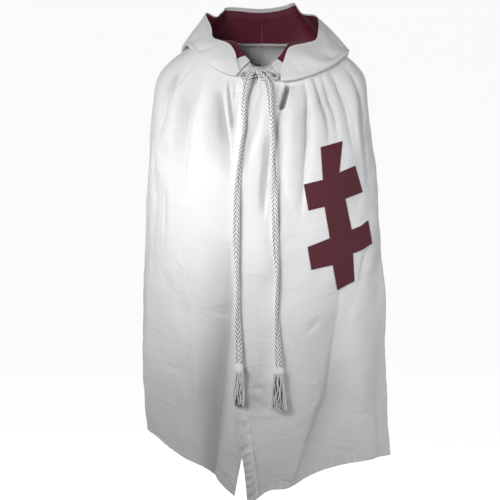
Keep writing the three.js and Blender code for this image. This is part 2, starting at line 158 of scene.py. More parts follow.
def clothMaterial(name, look):
    material, nodes, surface = startMaterial(name, {
        "Sheen Weight": look["sheen"],
        "Sheen Roughness": look["sheenRoughness"],
        "Specular IOR Level": look["gloss"],
    })
    uv = nodes.add("ShaderNodeUVMap", {"uv_map": "cloth"})
    place = nodes.add("ShaderNodeTexCoord").other("Object")
    parts = nodes.add("ShaderNodeSeparateXYZ", None, {0: uv})
    turn = 2 * math.pi / look["thread"]
    warp = (parts * turn).sine()
    weft = (parts.other("Y") * turn).sine()
    weave = 0.5 + warp * weft * 0.5
    clouds = nodes.add(
        "ShaderNodeTexNoise", None, {"Vector": place, "Scale": look["cloudScale"], "Detail": 4},
    )
    flat = nodes.add("ShaderNodeMapping", None, {"Vector": uv, "Scale": (1, look["crumpleStretch"], 1)})
    crumple = nodes.add("ShaderNodeTexNoise", None, {
        "Vector": flat, "Scale": look["crumpleScale"], "Detail": 5, "Roughness": 0.6, "Distortion": 1.1,
    })
    lower = nodes.add("ShaderNodeMapRange", {"clamp": True}, {
        0: parts.other("Y"), 1: -0.15, 2: -0.6, 3: look["crumpleAbove"], 4: 1,
    })
    stretched = nodes.add("ShaderNodeMapping", None, {"Vector": uv, "Scale": (1, 0.12, 1)})
    slub = nodes.add(
        "ShaderNodeTexNoise", None, {"Vector": stretched, "Scale": look["slubScale"], "Detail": 3},
    )
    tone = clouds * 0.6 + slub * 0.25 + weave * 0.15
    colour = nodes.add("ShaderNodeMix", {"data_type": "RGBA"}, {
        0: tone, 6: (*look["shade"], 1), 7: (*look["colour"], 1),
    }, 2)
    # painted shade: the fold attribute multiplies the base colour by a darker colour in deep folds, under the
    # throat and in the open tuck
    fold = nodes.add("ShaderNodeAttribute", {"attribute_name": "fold"}, None, "Fac")
    toneAndPaintedShade = nodes.add("ShaderNodeMix", {"data_type": "RGBA", "blend_type": "MULTIPLY"}, {
        0: fold, 6: colour, 7: (*look["paintedFoldShade"], 1),
    }, 2)
    link(nodes, toneAndPaintedShade, surface.inputs["Base Color"])
    roughness = look["roughness"] + (slub - 0.5) * look["roughnessSpread"]
    link(nodes, roughness, surface.inputs["Roughness"])
    soft = nodes.add("ShaderNodeBump", None, {
        "Height": crumple * lower, "Strength": look["crumpleStrength"], "Distance": look["crumpleDepth"],
    })
    fine = nodes.add("ShaderNodeBump", None, {
        "Height": weave + slub * 0.8, "Strength": 0.5, "Distance": look["threadDepth"], "Normal": soft,
    })
    link(nodes, fine, surface.inputs["Normal"])
    return material


# each look's fold colour is the painted shade multiplied into its colour where the fold attribute is set
clothLook = {   # what the three cloths have in common. lengths are in metres
    "roughnessSpread": 0.16, "sheen": 0.12, "sheenRoughness": 0.5, "thread": 0.0011, "threadDepth": 0.00012,
    "crumpleStretch": 1.5, "crumpleAbove": 1, "slubScale": 260, "paintedFoldShade": (0.8, 0.8, 0.8),
}
whiteLook = {
    **clothLook, "colour": (0.84, 0.84, 0.845), "shade": (0.74, 0.742, 0.75), "roughness": 0.72,
    "gloss": 0.35, "cloudScale": 5, "crumpleScale": 12, "crumpleStretch": 2.2, "crumpleStrength": 0.8,
    "crumpleDepth": 0.007,
    "crumpleAbove": 0.35, "paintedFoldShade": (0.6, 0.59, 0.6),
}
liningLook = {
    **clothLook, "colour": (0.17, 0.012, 0.034), "shade": (0.095, 0.008, 0.022), "roughness": 0.5,
    "roughnessSpread": 0.2, "sheenRoughness": 0.4, "gloss": 0.4, "thread": 0.0009, "threadDepth": 0.00008,
    "cloudScale": 8, "crumpleScale": 14, "crumpleStrength": 0.6, "crumpleDepth": 0.006,
}
crossLook = {
    **clothLook, "colour": (0.098, 0.013, 0.023), "shade": (0.062, 0.011, 0.018), "roughness": 0.78,
    "sheen": 0.06, "gloss": 0.25, "cloudScale": 9, "crumpleScale": 18, "crumpleStrength": 0.5,
    "crumpleDepth": 0.003, "slubScale": 240,
}
whiteCloth = clothMaterial("whiteCloth", whiteLook)
wineLining = clothMaterial("wineLining", liningLook)
wineCross = clothMaterial("wineCross", crossLook)

# groove is a nearly black colour of painted shade between the strands
cordLook = {
    "colour": (0.95, 0.945, 0.93), "shade": (0.86, 0.85, 0.83), "roughness": 0.6, "fibreScale": 900,
    "groove": (0.03, 0.029, 0.026), "grooveFrom": 0.17, "grooveTo": 0.33,
}
threadLook = {"white": (0.8, 0.8, 0.8), "wine": (0.11, 0.014, 0.03), "roughness": 0.5}


def cordMaterial():
    material, nodes, surface = startMaterial("cordCotton", {
        "Roughness": cordLook["roughness"], "Sheen Weight": 0.1, "Specular IOR Level": 0.4,
    })
    place = nodes.add("ShaderNodeTexCoord").other("Object")
    drawn = nodes.add("ShaderNodeMapping", None, {"Vector": place, "Scale": (1, 1, 0.3)})
    fibre = nodes.add(
        "ShaderNodeTexNoise", None, {"Vector": drawn, "Scale": cordLook["fibreScale"], "Detail": 2},
    )
    clouds = nodes.add("ShaderNodeTexNoise", None, {"Vector": place, "Scale": 40, "Detail": 2})
    toneAndPaintedShade = nodes.add("ShaderNodeMix", {"data_type": "RGBA"}, {
        0: fibre * 0.6 + clouds * 0.4, 6: (*cordLook["shade"], 1), 7: (*cordLook["colour"], 1),
    }, 2)
    # painted shade: the nearly black groove colour darkens points deep in a rope, in the holes of the throat
    # loops and inside the tassel skirts
    hollowShade = nodes.add("ShaderNodeAttribute", {"attribute_name": "hollowShade"}, None, "Fac")
    grooveShade = nodes.add("ShaderNodeMapRange", {"clamp": True}, {
        0: hollowShade, 1: cordLook["grooveFrom"], 2: cordLook["grooveTo"],
    })
    colour = nodes.add("ShaderNodeMix", {"data_type": "RGBA"}, {
        0: grooveShade, 6: toneAndPaintedShade, 7: (*cordLook["groove"], 1),
    }, 2)
    link(nodes, colour, surface.inputs["Base Color"])
    bump = nodes.add("ShaderNodeBump", None, {"Height": fibre, "Strength": 0.5, "Distance": 0.0004})
    link(nodes, bump, surface.inputs["Normal"])
    return material


def threadMaterial(name, colour):
    material, nodes, surface = startMaterial(name, {"Roughness": threadLook["roughness"]})
    place = nodes.add("ShaderNodeTexCoord").other("Object")
    fibre = nodes.add("ShaderNodeTexNoise", None, {"Vector": place, "Scale": 1500})
    darker = tuple(0.75 * part for part in colour)
    shade = nodes.add("ShaderNodeMix", {"data_type": "RGBA"}, {0: fibre, 6: (*darker, 1), 7: (*colour, 1)}, 2)
    link(nodes, shade, surface.inputs["Base Color"])
    return material


cordCotton = cordMaterial()
whiteThread = threadMaterial("whiteThread", threadLook["white"])
wineThread = threadMaterial("wineThread", threadLook["wine"])
print("materials made")


# ---- geometry node trees ----
def startTree(name, inputs):
    tree = bpy.data.node_groups.new(name, "GeometryNodeTree")
    tree.is_modifier = True
    tree.interface.new_socket("Geometry", in_out="INPUT", socket_type="NodeSocketGeometry")
    tree.interface.new_socket("Geometry", in_out="OUTPUT", socket_type="NodeSocketGeometry")
    for socketName, kind in inputs.items():
        tree.interface.new_socket(socketName, in_out="INPUT", socket_type="NodeSocket" + kind)
    return tree, Nodes(tree)


def endTree(nodes, shape, material):
    real = nodes.add("GeometryNodeRealizeInstances", None, {"Geometry": shape})
    painted = nodes.add("GeometryNodeSetMaterial", None, {"Geometry": real, "Material": material})
    nodes.add("NodeGroupOutput", None, {0: painted})


def ropeTree():
    # lays twisted strands along every line that it is given
    tree, nodes = startTree("rope", {
        "Strands": "Int", "Turns per metre": "Float", "Lay radius": "Float", "Strand radius": "Float",
        "Sides": "Int", "Step": "Float", "Material": "Material",
    })
    given = nodes.add("NodeGroupInput")
    line = nodes.add("GeometryNodeMeshToCurve", None, {"Mesh": given})
    even = nodes.add(
        "GeometryNodeResampleCurve", {"mode": "LENGTH"}, {"Curve": line, "Length": given.other("Step")},
    )
    copies = nodes.add("GeometryNodeDuplicateElements", {"domain": "SPLINE"}, {
        "Geometry": even, "Amount": given.other("Strands"),
    })
    along = nodes.add("GeometryNodeSplineParameter").other("Length")
    phase = (
        along * given.other("Turns per metre")
        + copies.other("Duplicate Index") / given.other("Strands")
    )
    angle = phase * (2 * math.pi)
    tangent = nodes.add("GeometryNodeInputTangent")
    normal = nodes.add("GeometryNodeInputNormal")
    side = nodes.vector("CROSS_PRODUCT", tangent, normal)
    radius = given.other("Lay radius")
    shift = nodes.vector(
        "ADD",
        nodes.vector("SCALE", normal, angle.cosine() * radius),
        nodes.vector("SCALE", side, angle.sine() * radius),
    )
    axis = nodes.add("GeometryNodeCaptureAttribute", {"domain": "POINT"}, {"Geometry": copies})
    axis.link.node.capture_items.new("VECTOR", "axis")
    middle = axis.other("axis")
    link(nodes, nodes.add("GeometryNodeInputPosition"), axis.link.node.inputs["axis"])
    laid = nodes.add("GeometryNodeSetPosition", None, {"Geometry": axis, "Offset": shift})
    outline = nodes.add("GeometryNodeCurvePrimitiveCircle", {"mode": "RADIUS"}, {
        "Resolution": given.other("Sides"), "Radius": given.other("Strand radius"),
    })
    tube = nodes.add("GeometryNodeCurveToMesh", None, {
        "Curve": laid, "Profile Curve": outline, "Fill Caps": True,
    })
    # how deep a point lies in its rope, stored as the weight of painted shade between the strands
    away = nodes.vector("DISTANCE", nodes.add("GeometryNodeInputPosition"), middle, "Value")
    hollowShade = 1 - away / (radius + given.other("Strand radius"))
    marked = nodes.add("GeometryNodeStoreNamedAttribute", {"data_type": "FLOAT", "domain": "POINT"}, {
        "Geometry": tube, "Name": "hollowShade", "Value": hollowShade,
    })
    smooth = nodes.add("GeometryNodeSetShadeSmooth", None, {0: marked})
    endTree(nodes, smooth, given.other("Material"))
    return tree


def stitchTree():
    # sets one short thread after another along every line that it is given
    tree, nodes = startTree("stitches", {
        "Pitch": "Float", "Length": "Float", "Thickness": "Float", "Material": "Material",
    })
    given = nodes.add("NodeGroupInput")
    line = nodes.add("GeometryNodeMeshToCurve", None, {"Mesh": given})
    even = nodes.add(
        "GeometryNodeResampleCurve", {"mode": "LENGTH"}, {"Curve": line, "Length": given.other("Pitch")},
    )
    bead = nodes.add("GeometryNodeMeshUVSphere", None, {"Segments": 6, "Rings": 4, "Radius": 0.5})
    size = nodes.add("ShaderNodeCombineXYZ", None, {
        0: given.other("Length"), 1: given.other("Thickness"), 2: given.other("Thickness"),
    })
    stitch = nodes.add("GeometryNodeTransform", None, {"Geometry": bead, "Scale": size})
    tangent = nodes.add("GeometryNodeInputTangent")
    turned = nodes.add("FunctionNodeAlignRotationToVector", {"axis": "X"}, {"Vector": tangent})
    row = nodes.add(
        "GeometryNodeInstanceOnPoints", None, {"Points": even, "Instance": stitch, "Rotation": turned},
    )
    smooth = nodes.add("GeometryNodeSetShadeSmooth", None, {0: row})
    endTree(nodes, smooth, given.other("Material"))
    return tree


ropes = ropeTree()
stitches = stitchTree()


def lineMesh(name, lines, closed=False):
    # one mesh of edges from lists of points in metres
    points = [tuple(point) for line in lines for point in line]
    edges = []
    start = 0
    for line in lines:
        count = len(line)
        edges += [(start + i, start + i + 1) for i in range(count - 1)]
        if closed:
            edges.append((start + count - 1, start))
        start += count
    mesh = bpy.data.meshes.new(name)
    mesh.from_pydata(points, edges, [])
    return mesh


def addObject(name, mesh):
    made = bpy.data.objects.new(name, mesh)
    bpy.context.scene.collection.objects.link(made)
    return made


def runTree(name, tree, mesh, values):
    # runs a tree on a mesh and keeps the result as a plain mesh
    made = addObject(name, mesh)
    modifier = made.modifiers.new("build", "NODES")
    modifier.node_group = tree
    for item in tree.interface.items_tree:
        if item.item_type == "SOCKET" and item.name in values:
            modifier[item.identifier] = values[item.name]
    graph = bpy.context.evaluated_depsgraph_get()
    graph.update()
    result = bpy.data.meshes.new_from_object(made.evaluated_get(graph))
    made.modifiers.remove(modifier)
    made.data = result
    result.name = name
    return made


def setPiece(piece, replaced):
    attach(piece, "root")
    if replaced:
        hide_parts(*replaced)
    return piece


# ---- smooth lines ----
def smoothCurve(rows, key, column, at):
    # a smooth curve through one column of a table against another
    x, y = rows[key], rows[column]
    width = np.diff(x)
    rise = np.diff(y) / width
    slope = np.zeros_like(y)
    slope[1:-1] = (width[:-1] * rise[1:] + width[1:] * rise[:-1]) / (width[:-1] + width[1:])
    slope[0] = 1.5 * rise[0] - 0.5 * slope[1]
    slope[-1] = 1.5 * rise[-1] - 0.5 * slope[-2]
    at = np.clip(at, x[0], x[-1])
    i = np.clip(np.searchsorted(x, at, side="right") - 1, 0, len(width) - 1)
    h = width[i]
    u = (at - x[i]) / h
    return ((1 + 2 * u) * (1 - u) ** 2 * y[i] + u * (1 - u) ** 2 * h * slope[i]
            + u * u * (3 - 2 * u) * y[i + 1] + u * u * (u - 1) * h * slope[i + 1])


def throughPoints(points, along):
    # centripetal curve through points[k], each an array of places; along runs from 0 to their count less 1
    last = len(points) - 1
    i = np.clip(np.floor(along).astype(int), 0, last - 1)
    w = (np.clip(along, 0, last) - i)[..., None]
    full = np.concatenate([[2 * points[0] - points[1]], points, [2 * points[-1] - points[-2]]])
    if full.ndim == 2:
        p0, p1, p2, p3 = (full[i + k] for k in range(4))
    else:
        column = np.arange(full.shape[1])
        p0, p1, p2, p3 = (full[i + k, column] for k in range(4))
    gap = lambda a, b: np.maximum(np.sum((a - b) ** 2, -1, keepdims=True) ** 0.25, 1e-4)
    d0, d1, d2 = gap(p0, p1), gap(p1, p2), gap(p2, p3)
    t1 = ((p1 - p0) / d0 - (p2 - p0) / (d0 + d1) + (p2 - p1) / d1) * d1
    t2 = ((p2 - p1) / d1 - (p3 - p1) / (d1 + d2) + (p3 - p2) / d2) * d1
    return p1 + t1 * w + (3 * p2 - 3 * p1 - 2 * t1 - t2) * w ** 2 + (2 * p1 - 2 * p2 + t1 + t2) * w ** 3


def evenPoints(points, count):
    # the same curve at even distances, with its tangents and its length
    points = np.asarray(points, float)
    dense = throughPoints(points, np.linspace(0, len(points) - 1, 40 * len(points)))
    run = np.concatenate([[0], np.cumsum(np.linalg.norm(np.diff(dense, axis=0), axis=1))])
    at = np.linspace(0, run[-1], count)
    even = np.stack([np.interp(at, run, dense[:, k]) for k in range(3)], -1)
    return even, unit(np.gradient(even, axis=0)), run[-1]


# ---- cords ----
cordRoutes = {
    "right": [
        (-26.5, -101, -43), (-31.5, -110, -55), (-36, -114, -63), (-39, -115, -74), (-42, -119, -93),
        (-45, -127, -121), (-47, -137, -152), (-46, -144, -183), (-51, -151, -222), (-56, -157, -267),
        (-60, -161, -315), (-63, -164, -364), (-64, -167, -413), (-65, -170, -474), (-63, -172, -534),
        (-61, -176, -607), (-61, -180, -656), (-59, -186, -703), (-58, -194, -740), (-58, -197, -757),
    ],
    "left": [
        (-9, -99, -44), (-1, -106, -55), (8, -110.5, -65), (13, -113, -74), (16, -117, -87),
        (19, -124, -111), (20, -134, -142), (23, -144, -180), (25, -151, -217), (26, -156, -255),
        (29, -161, -303), (29, -165, -353), (30, -168, -413), (31, -171, -474), (34, -174, -535),
        (34, -177, -595), (35, -181, -656), (36, -189, -716), (37, -197, -748), (37, -200, -766),
    ],
}
cordSizes = {
    "pairHalf": 4.4,        # from the pair's middle to each rope's middle
    "pairTurns": 1,         # turns of the pair over its whole length
    "diameter": 8,
    "strands": 3,
    "pitch": 32,            # length of one turn of a rope's strands
    "sides": 8,
    "step": 1.9,
}


def pairLine(side, hand, count):
    # the middle line of one rope of a doubled cord
    middle, tangent, _ = evenPoints(cordRoutes[side], count)
    angle = np.linspace(0, 1, count)[:, None] * 2 * math.pi * cordSizes["pairTurns"]
    across = unit(np.cross((0, -1, 0), tangent))
    away = unit(np.cross(tangent, across))
    half = cordSizes["pairHalf"] * hand
    return (middle + across * half * np.cos(angle) + away * half * np.sin(angle)) * mm


def ropeValues(diameter, strands, pitch, sides, step, hand=1):
    # a rope of this diameter whose strands nearly touch each other
    share = {2: 0.5, 3: 0.464}[strands] * 0.9
    strand = diameter / 2 * share
    return {
        "Strands": strands, "Turns per metre": hand / (pitch * mm),
        "Lay radius": (diameter / 2 - strand) * mm,
        "Strand radius": strand * mm, "Sides": sides, "Step": step * mm, "Material": cordCotton,
    }


for side in cordRoutes:
    for letter, hand in (("a", 1), ("b", -1)):
        name = f"rope_{side}_{letter}"
        path = pairLine(side, hand, 300)
        values = ropeValues(
            cordSizes["diameter"], cordSizes["strands"], cordSizes["pitch"],
            cordSizes["sides"], cordSizes["step"], hand,
        )
        piece = runTree(name, ropes, lineMesh(name, [path]), values)
        setPiece(piece, [f"cord_{side}_{letter}"])
print("cords laid")


# ---- the body's surface ----
sections = table("level frontY frontZ backY backZ rightX rightZ leftX leftZ squareness", [
    (0.00, -70, -28, 66, 50, 68, 44, 70, 42, 2.0),
    (0.04, -88, -58, 94, 36, 115, 44, 118, 38, 2.0),
    (0.08, -104, -98, 118, 6, 160, 38, 165, 30, 2.0),
    (0.13, -122, -150, 136, -46, 205, 20, 212, 12, 2.05),
    (0.19, -136, -212, 148, -110, 256, -28, 254, -30, 2.1),
    (0.27, -147, -298, 155, -200, 279, -116, 270, -122, 2.2),
    (0.38, -155, -418, 160, -322, 288, -240, 286, -245, 2.25),
    (0.54, -163, -592, 166, -505, 298, -425, 299, -440, 2.25),
    (0.76, -178, -830, 182, -760, 304, -680, 310, -710, 2.2),
    (1.00, -196, -1075, 205, -1030, 294, -926, 322, -1005, 2.1),
])
hemLine = table("turn z", [
    (-180, -1030), (-135, -1015), (-90, -1005), (-57, -1004), (-35, -1010), (-18.8, -1037),
    (-11.7, -1061), (-1.8, -1069), (3.2, -1088), (7.5, -1101), (13.3, -1081), (18.5, -1060),
    (27.6, -1022), (39, -996), (63, -947), (90, -926), (135, -985), (180, -1030),
])
opening = table("level upper under", [
    (0.00, 3, -4), (0.05, 6, -5), (0.10, 12, -6), (0.22, 13, -6), (0.45, 12.5, -5), (0.70, 11.5, -2),
    (0.80, 11.5, 3), (0.883, 9.9, 8.9), (0.94, 8.3, 11.2), (1.00, 7.3, 13.3),
])
# the large folds: troughs have a depth below 0. widthOn is the half-width towards a greater turn
# and widthBack towards a smaller one, in degrees
folds = table("fromLevel fromTurn midLevel midTurn toLevel toTurn widthOn widthBack depth", [
    (0.05, 26, 0.16, 18.5, 0.32, 14.5, 7.5, 2.2, -42), (0.07, 20, 0.18, 14, 0.34, 12, 2.0, 2.6, 7),
    (0.08, 49, 0.20, 43, 0.46, 40, 9.0, 2.4, -28), (0.09, 38, 0.22, 32, 0.55, 29, 5.0, 5.0, 5),
    (0.09, 60, 0.20, 62, 0.36, 64, 6.0, 2.4, -16), (0.12, 53, 0.24, 52, 0.45, 52, 4.0, 4.0, 4),
    (0.30, 67, 0.46, 65, 0.72, 61, 3.6, 3.6, -7), (0.32, 47, 0.50, 46, 0.78, 40, 7.0, 14.0, 12),
    (0.30, 9.5, 0.76, 18.3, 1.25, 31, 9.6, 2.8, -62), (0.42, 33, 0.85, 35.5, 1.25, 38, 7.0, 7.0, 11),
    (0.42, 44, 0.70, 36, 1.25, 33, 9.0, 6.0, -15), (0.55, 68, 0.88, 70.5, 1.25, 73, 6.5, 6.5, 9),
    (0.24, 79, 0.50, 80, 0.95, 82, 5.0, 5.0, -7),
    (0.06, -20, 0.16, -9, 0.50, -1, 3.4, 4.0, -20), (0.08, -25, 0.18, -16, 0.40, -10, 3.6, 3.6, 4),
    (0.07, -38, 0.18, -26, 0.46, -16, 4.0, 2.2, -26), (0.09, -32, 0.20, -22, 0.34, -19, 3.0, 3.0, 3),
    (0.07, -45, 0.16, -38, 0.28, -37, 1.8, 3.4, -20), (0.08, -50.5, 0.17, -44, 0.29, -43, 3.2, 1.8, -20),
    (0.09, -57, 0.18, -52.5, 0.36, -53, 4.2, 2.2, -18), (0.10, -66, 0.24, -67, 0.48, -64, 4.6, 2.6, -9),
    (0.12, -61, 0.25, -60, 0.50, -58, 4.0, 4.0, 4),
    (0.48, -43, 0.83, -31, 1.14, 3, 14.0, 5.0, -44), (0.62, -20, 0.85, -17, 1.20, -8, 6.0, 6.0, 4),
    (0.66, -50, 0.88, -46, 1.25, -40, 9.0, 8.0, 11), (0.72, -66, 0.92, -64, 1.25, -62, 6.0, 6.0, -9),
    (0.30, -80, 0.75, -79, 1.30, -78, 5.5, 5.5, 7), (0.45, 2, 0.65, 1, 0.95, -3, 5.0, 5.0, -5),
    (0.10, 97, 0.24, 100, 0.60, 102, 7.0, 4.0, -10), (0.10, 115, 0.90, 111, 1.30, 110, 7.5, 7.5, 19),
    (0.09, 131, 0.26, 127, 0.55, 126, 4.0, 7.0, -12), (0.30, 131, 0.92, 132, 1.30, 130, 6.5, 8.5, -24),
    (0.09, 146, 0.90, 151, 1.30, 153, 8.0, 8.0, 19), (0.08, 163, 0.26, 165, 0.58, 166, 7.0, 4.0, -12),
    (0.32, 166, 0.92, 171, 1.30, 173, 9.0, 6.0, -23), (0.08, 181, 0.90, 191, 1.30, 194, 8.0, 8.0, 18),
    (0.09, 198, 0.92, 210, 1.30, 213, 6.0, 9.0, -20), (0.09, 217, 0.90, 229, 1.30, 232, 8.0, 8.0, 19),
    (0.10, 236, 0.92, 245, 1.30, 247, 8.5, 5.5, -20), (0.10, 252, 0.80, 260, 1.30, 262, 6.5, 6.5, 11),
    (0.09, 190, 0.22, 191, 0.42, 192, 5.5, 3.0, -9), (0.09, 226, 0.24, 228, 0.45, 229, 3.0, 5.5, -9),
])
# creases given one by one, from x, z to x, z as seen from the front. left and right are their half-widths,
# below and above for one that lies level
frontCreases = table("fromX fromZ midX midZ toX toZ left right depth", [
    (-180, -30, -208, -49, -252, -112, 12, 4, -6), (-100, -78, -93, -146, -80, -236, 16, 3.5, -9),
    (-90, -51, -87, -120, -81, -191, 3, 3.5, 4), (-82, -62, -77, -126, -75, -185, 3.5, 3.5, -5),
    (-75, -52, -70, -148, -66, -238, 3.5, 5, 4), (-48, -77, -61, -90, -70, -105, 8, 6, -6),
    (-212, -32, -226, -62, -236, -96, 5, 8, -4), (-150, -62, -158, -88, -170, -120, 6, 5, -3),
    (-274, -310, -270, -360, -268, -414, 4, 3, -3), (-244, -311, -241, -411, -242, -502, 4, 6, -3),
    (-240, -351, -192, -522, -170, -683, 20, 9, 5), (-84, -461, -78, -546, -76, -669, 22, 6, -6),
    (-150, -625, -117, -620, -86, -618, 4, 4, 2.4), (-150, -636, -112, -639, -79, -646, 4, 3, -2.6),
    (-123, -651, -102, -652, -76, -658, 3, 3, 2.2), (-193, -695, -177, -764, -160, -832, 5, 4, -4),
    (-201, -931, -175, -965, -148, -995, 5, 4, -4), (-105, -837, -90, -843, -69, -851, 5, 4, -4),
    (-50, -760, -30, -800, 12, -836, 14, 5, -9), (-45, -825, -10, -856, 26, -876, 12, 5, -6),
    (-61, -880, -11, -886, 52, -890, 5, 7, 4), (238, -579, 201, -708, 165, -806, 14, 4, -4),
    (165, -806, 126, -925, 77, -1007, 12, 4, -4), (150, -800, 138, -840, 120, -880, 8, 4, -5),
    (42, -1047, 59, -1046, 75, -1048, 4, 3, -3), (46, -65, 41, -95, 38, -129, 3, 2.5, -3),
    (178, -54, 220, -122, 240, -279, 6, 4, -4), (202, -70, 211, -75, 224, -86, 4, 4, -3),
    (225, -45, 246, -99, 261, -185, 5, 5, -4), (262, -470, 250, -530, 238, -579, 5, 12, -4),
    (144, -645, 126, -668, 106, -692, 7, 12, -4), (60, -700, 84, -716, 120, -724, 7, 4, -2.5),
    (76, -800, 120, -812, 150, -806, 5, 7, 2.5), (200, -880, 232, -892, 270, -886, 4, 5, -2.5),
    (-250, -760, -226, -775, -196, -778, 5, 6, -2.5), (96, -905, 70, -930, 30, -940, 6, 5, -3),
    (36, -300, 66, -380, 78, -470, 12, 9, -2.5), (10, -560, 34, -580, 56, -592, 7, 9, -2),
    (24, -190, 15, -285, 4, -420, 11, 2.5, -20), (-2, -90, -14, -190, -44, -290, 14, 9, -5),
])
backCreases = table("fromX fromZ midX midZ toX toZ left right depth", [
    (-150, -20, -165, -90, -172, -190, 4, 6, -3), (-96, -40, -104, -120, -110, -230, 5, 4, 3),
    (-40, -60, -44, -150, -46, -300, 6, 4, -4), (22, -60, 26, -140, 30, -260, 4, 6, -3),
    (84, -50, 96, -130, 104, -240, 5, 4, -3.5), (150, -30, 170, -100, 186, -200, 6, 4, 3),
    (-210, -300, -206, -420, -200, -560, 4, 6, -2), (-70, -420, -64, -560, -66, -700, 8, 5, -2.5),
    (60, -380, 70, -520, 66, -690, 5, 9, 2.5), (190, -300, 200, -420, 204, -560, 6, 4, -2),
    (-160, -760, -150, -850, -154, -960, 5, 8, 2), (10, -760, 4, -870, 8, -990, 8, 5, -2.5),
    (140, -740, 150, -840, 142, -960, 6, 5, -2), (-110, -640, -84, -646, -56, -644, 3, 3, -1.2),
    (96, -820, 120, -826, 148, -822, 3, 3, -1.3),
])
# an open tuck under the hood's edge and a short one at its foot: where each runs in x, z, its left and
# right half-widths, and the height of the edge beside it
tucks = [
    {"from": (66, -72), "to": (49, -132), "left": 6.5, "right": 5.5, "depth": -26, "edge": 3},
    {"from": (52, -133), "to": (32, -128), "left": 3.2, "right": 3.2, "depth": -8, "edge": 0},
]
bodySizes = {
    "cloth": 1.4, "lapLift": 3.8, "lapSink": 0.6, "lapEase": (-30, -9), "sinkEase": (18, 8),
    "hemStarts": 0.38, "length": 1060, "side": 90, "seamGap": 0.3, "seamEven": 5, "foldShade": 45,
    "meanRadius": 0.29,     # in metres, for what is laid out by the turn
}
neckSizes = {   # turns in degrees and levels down the body
    "middle": 2, "throatTurns": 26, "gather": 1.6, "throatGather": 3.8, "gatherPitch": 4.6,
    "gatherEnds": 0.065, "throatEnds": 0.02, "rollDepth": 3, "rollPitch": 0.0125, "rollFrom": 0.018,
    "rollOver": 0.014, "rollTurns": 8, "slack": 0.8, "slackPitch": 9.5,
}
hemSizes = {
    "width": 11, "stand": 0.5, "groove": 1.3, "grooveWidth": 1.6, "wave": 2.2, "wavePitch": 3.7,
    "waveReach": 20,
}
frontEdge = {   # the turned edge of a front, with its puckers near the hem
    "width": 28, "stand": 0.4, "seamDepth": 0.7, "seamWidth": 1.8, "ripple": 0.4, "rippleFlat": 18,
    "rippleReach": 14, "puckerFrom": 0.78, "pucker": 8.5, "puckerPitch": 21, "underShare": 0.15,
    "bandStand": 5, "bandTop": 7, "bandTopAt": 0.028, "bandTopWidth": 0.013, "lowSeam": 1.4,
}
# slow unevenness of the cloth: waves round the body and down it per metre, their phase and their height
unevenness = table("around down phase height", [
    (3.1, 2.2, 0.4, 1.8), (-2.4, 4.1, 2.1, 1.6), (5.2, -3.0, 4.0, 1.2), (1.6, 6.4, 1.2, 1.1),
    (-7.5, 5.0, 5.2, 0.6), (4.2, 11.0, 3.3, 0.5), (-5.0, 14.0, 0.9, 0.4), (9.0, 8.0, 2.7, 0.4),
])


def bodyPoint(turn, level):
    turn, level = np.broadcast_arrays(np.asarray(turn, float), np.asarray(level, float))
    s, c = np.sin(np.radians(turn)), np.cos(np.radians(turn))
    at = lambda name: smoothCurve(sections, "level", name, level)
    pick = lambda front, back: np.where(c > 0, front, back)
    sideways = lambda right, left: np.where(s > 0, right, left)
    a = sideways(at("rightX"), at("leftX"))
    b = np.abs(pick(at("frontY"), at("backY")))
    p = at("squareness")
    bearing = np.arctan2(a * s, b * c)
    r = (np.abs(np.sin(bearing) / a) ** p + np.abs(np.cos(bearing) / b) ** p) ** (-1 / p)
    lowest = {name: column[-1] for name, column in sections.items()}
    plain = (
        pick(lowest["frontZ"], lowest["backZ"]) * c * c
        + sideways(lowest["rightZ"], lowest["leftZ"]) * s * s
    )
    wrapped = (turn + 180) % 360 - 180
    starts = bodySizes["hemStarts"]
    share = np.clip((level - starts) / (1 - starts), 0, 1) ** 1.5
    z = pick(at("frontZ"), at("backZ")) * c * c + sideways(at("rightZ"), at("leftZ")) * s * s
    z = z + (smoothCurve(hemLine, "turn", "z", wrapped) - plain) * share
    return np.stack([-r * np.sin(bearing), -r * np.cos(bearing), z], -1)


def bodyNormal(turn, level):
    turnStep, levelStep = 0.5, 0.004
    across = bodyPoint(turn + turnStep, level) - bodyPoint(turn - turnStep, level)
    down = (
        bodyPoint(turn, np.minimum(level + levelStep, 1))
        - bodyPoint(turn, np.maximum(level - levelStep, 0))
    )
    return unit(np.cross(across, down))


def foldSum(rows, across, down, keys):
    # adds up folds that each run along three places, with sharper troughs than ridges
    depth = np.zeros(np.broadcast(across, down).shape)
    for i in range(len(rows["depth"])):
        row = {name: column[i] for name, column in rows.items()}
        starts, middles, ends = ((row[name + keys[0]], row[name + keys[1]]) for name in ("from", "mid", "to"))
        upper = down < middles[0]
        start = np.where(upper, starts[0], middles[0])
        end = np.where(upper, middles[0], ends[0])
        part = np.clip((down - start) / (end - start), 0, 1)
        first = np.where(upper, starts[1], middles[1])
        second = np.where(upper, middles[1], ends[1])
        strength = np.where(upper, ease(part), 1 - ease(part))
        off = (across - first - (second - first) * part + 180) % 360 - 180
        off = np.abs(off) / np.where(off > 0, row["widthOn"], row["widthBack"])
        depth += row["depth"] * strength * np.exp(-off ** (1.2 if row["depth"] < 0 else 2))
    return depth


def foldDepth(turn, level):
    return foldSum(folds, turn, level, ("Level", "Turn"))


def alongPath(x, z, path):
    # the nearest place on a short path: how far along it, and how far off to its left or right
    nearest = np.full(x.shape, 1e9)
    share = np.zeros(x.shape)
    off = np.zeros(x.shape)
    count = len(path) - 1
    for i in range(count):
        start, step = path[i], path[i + 1] - path[i]
        size = step @ step
        u = np.clip(((x - start[0]) * step[0] + (z - start[1]) * step[1]) / size, 0, 1)
        dx, dz = x - start[0] - u * step[0], z - start[1] - u * step[1]
        distance = np.hypot(dx, dz)
        closer = distance < nearest
        nearest = np.where(closer, distance, nearest)
        share = np.where(closer, (i + u) / count, share)
        sign = np.sign(dz * step[0] - dx * step[1])
        off = np.where(closer, distance * sign, off)
    return share, off


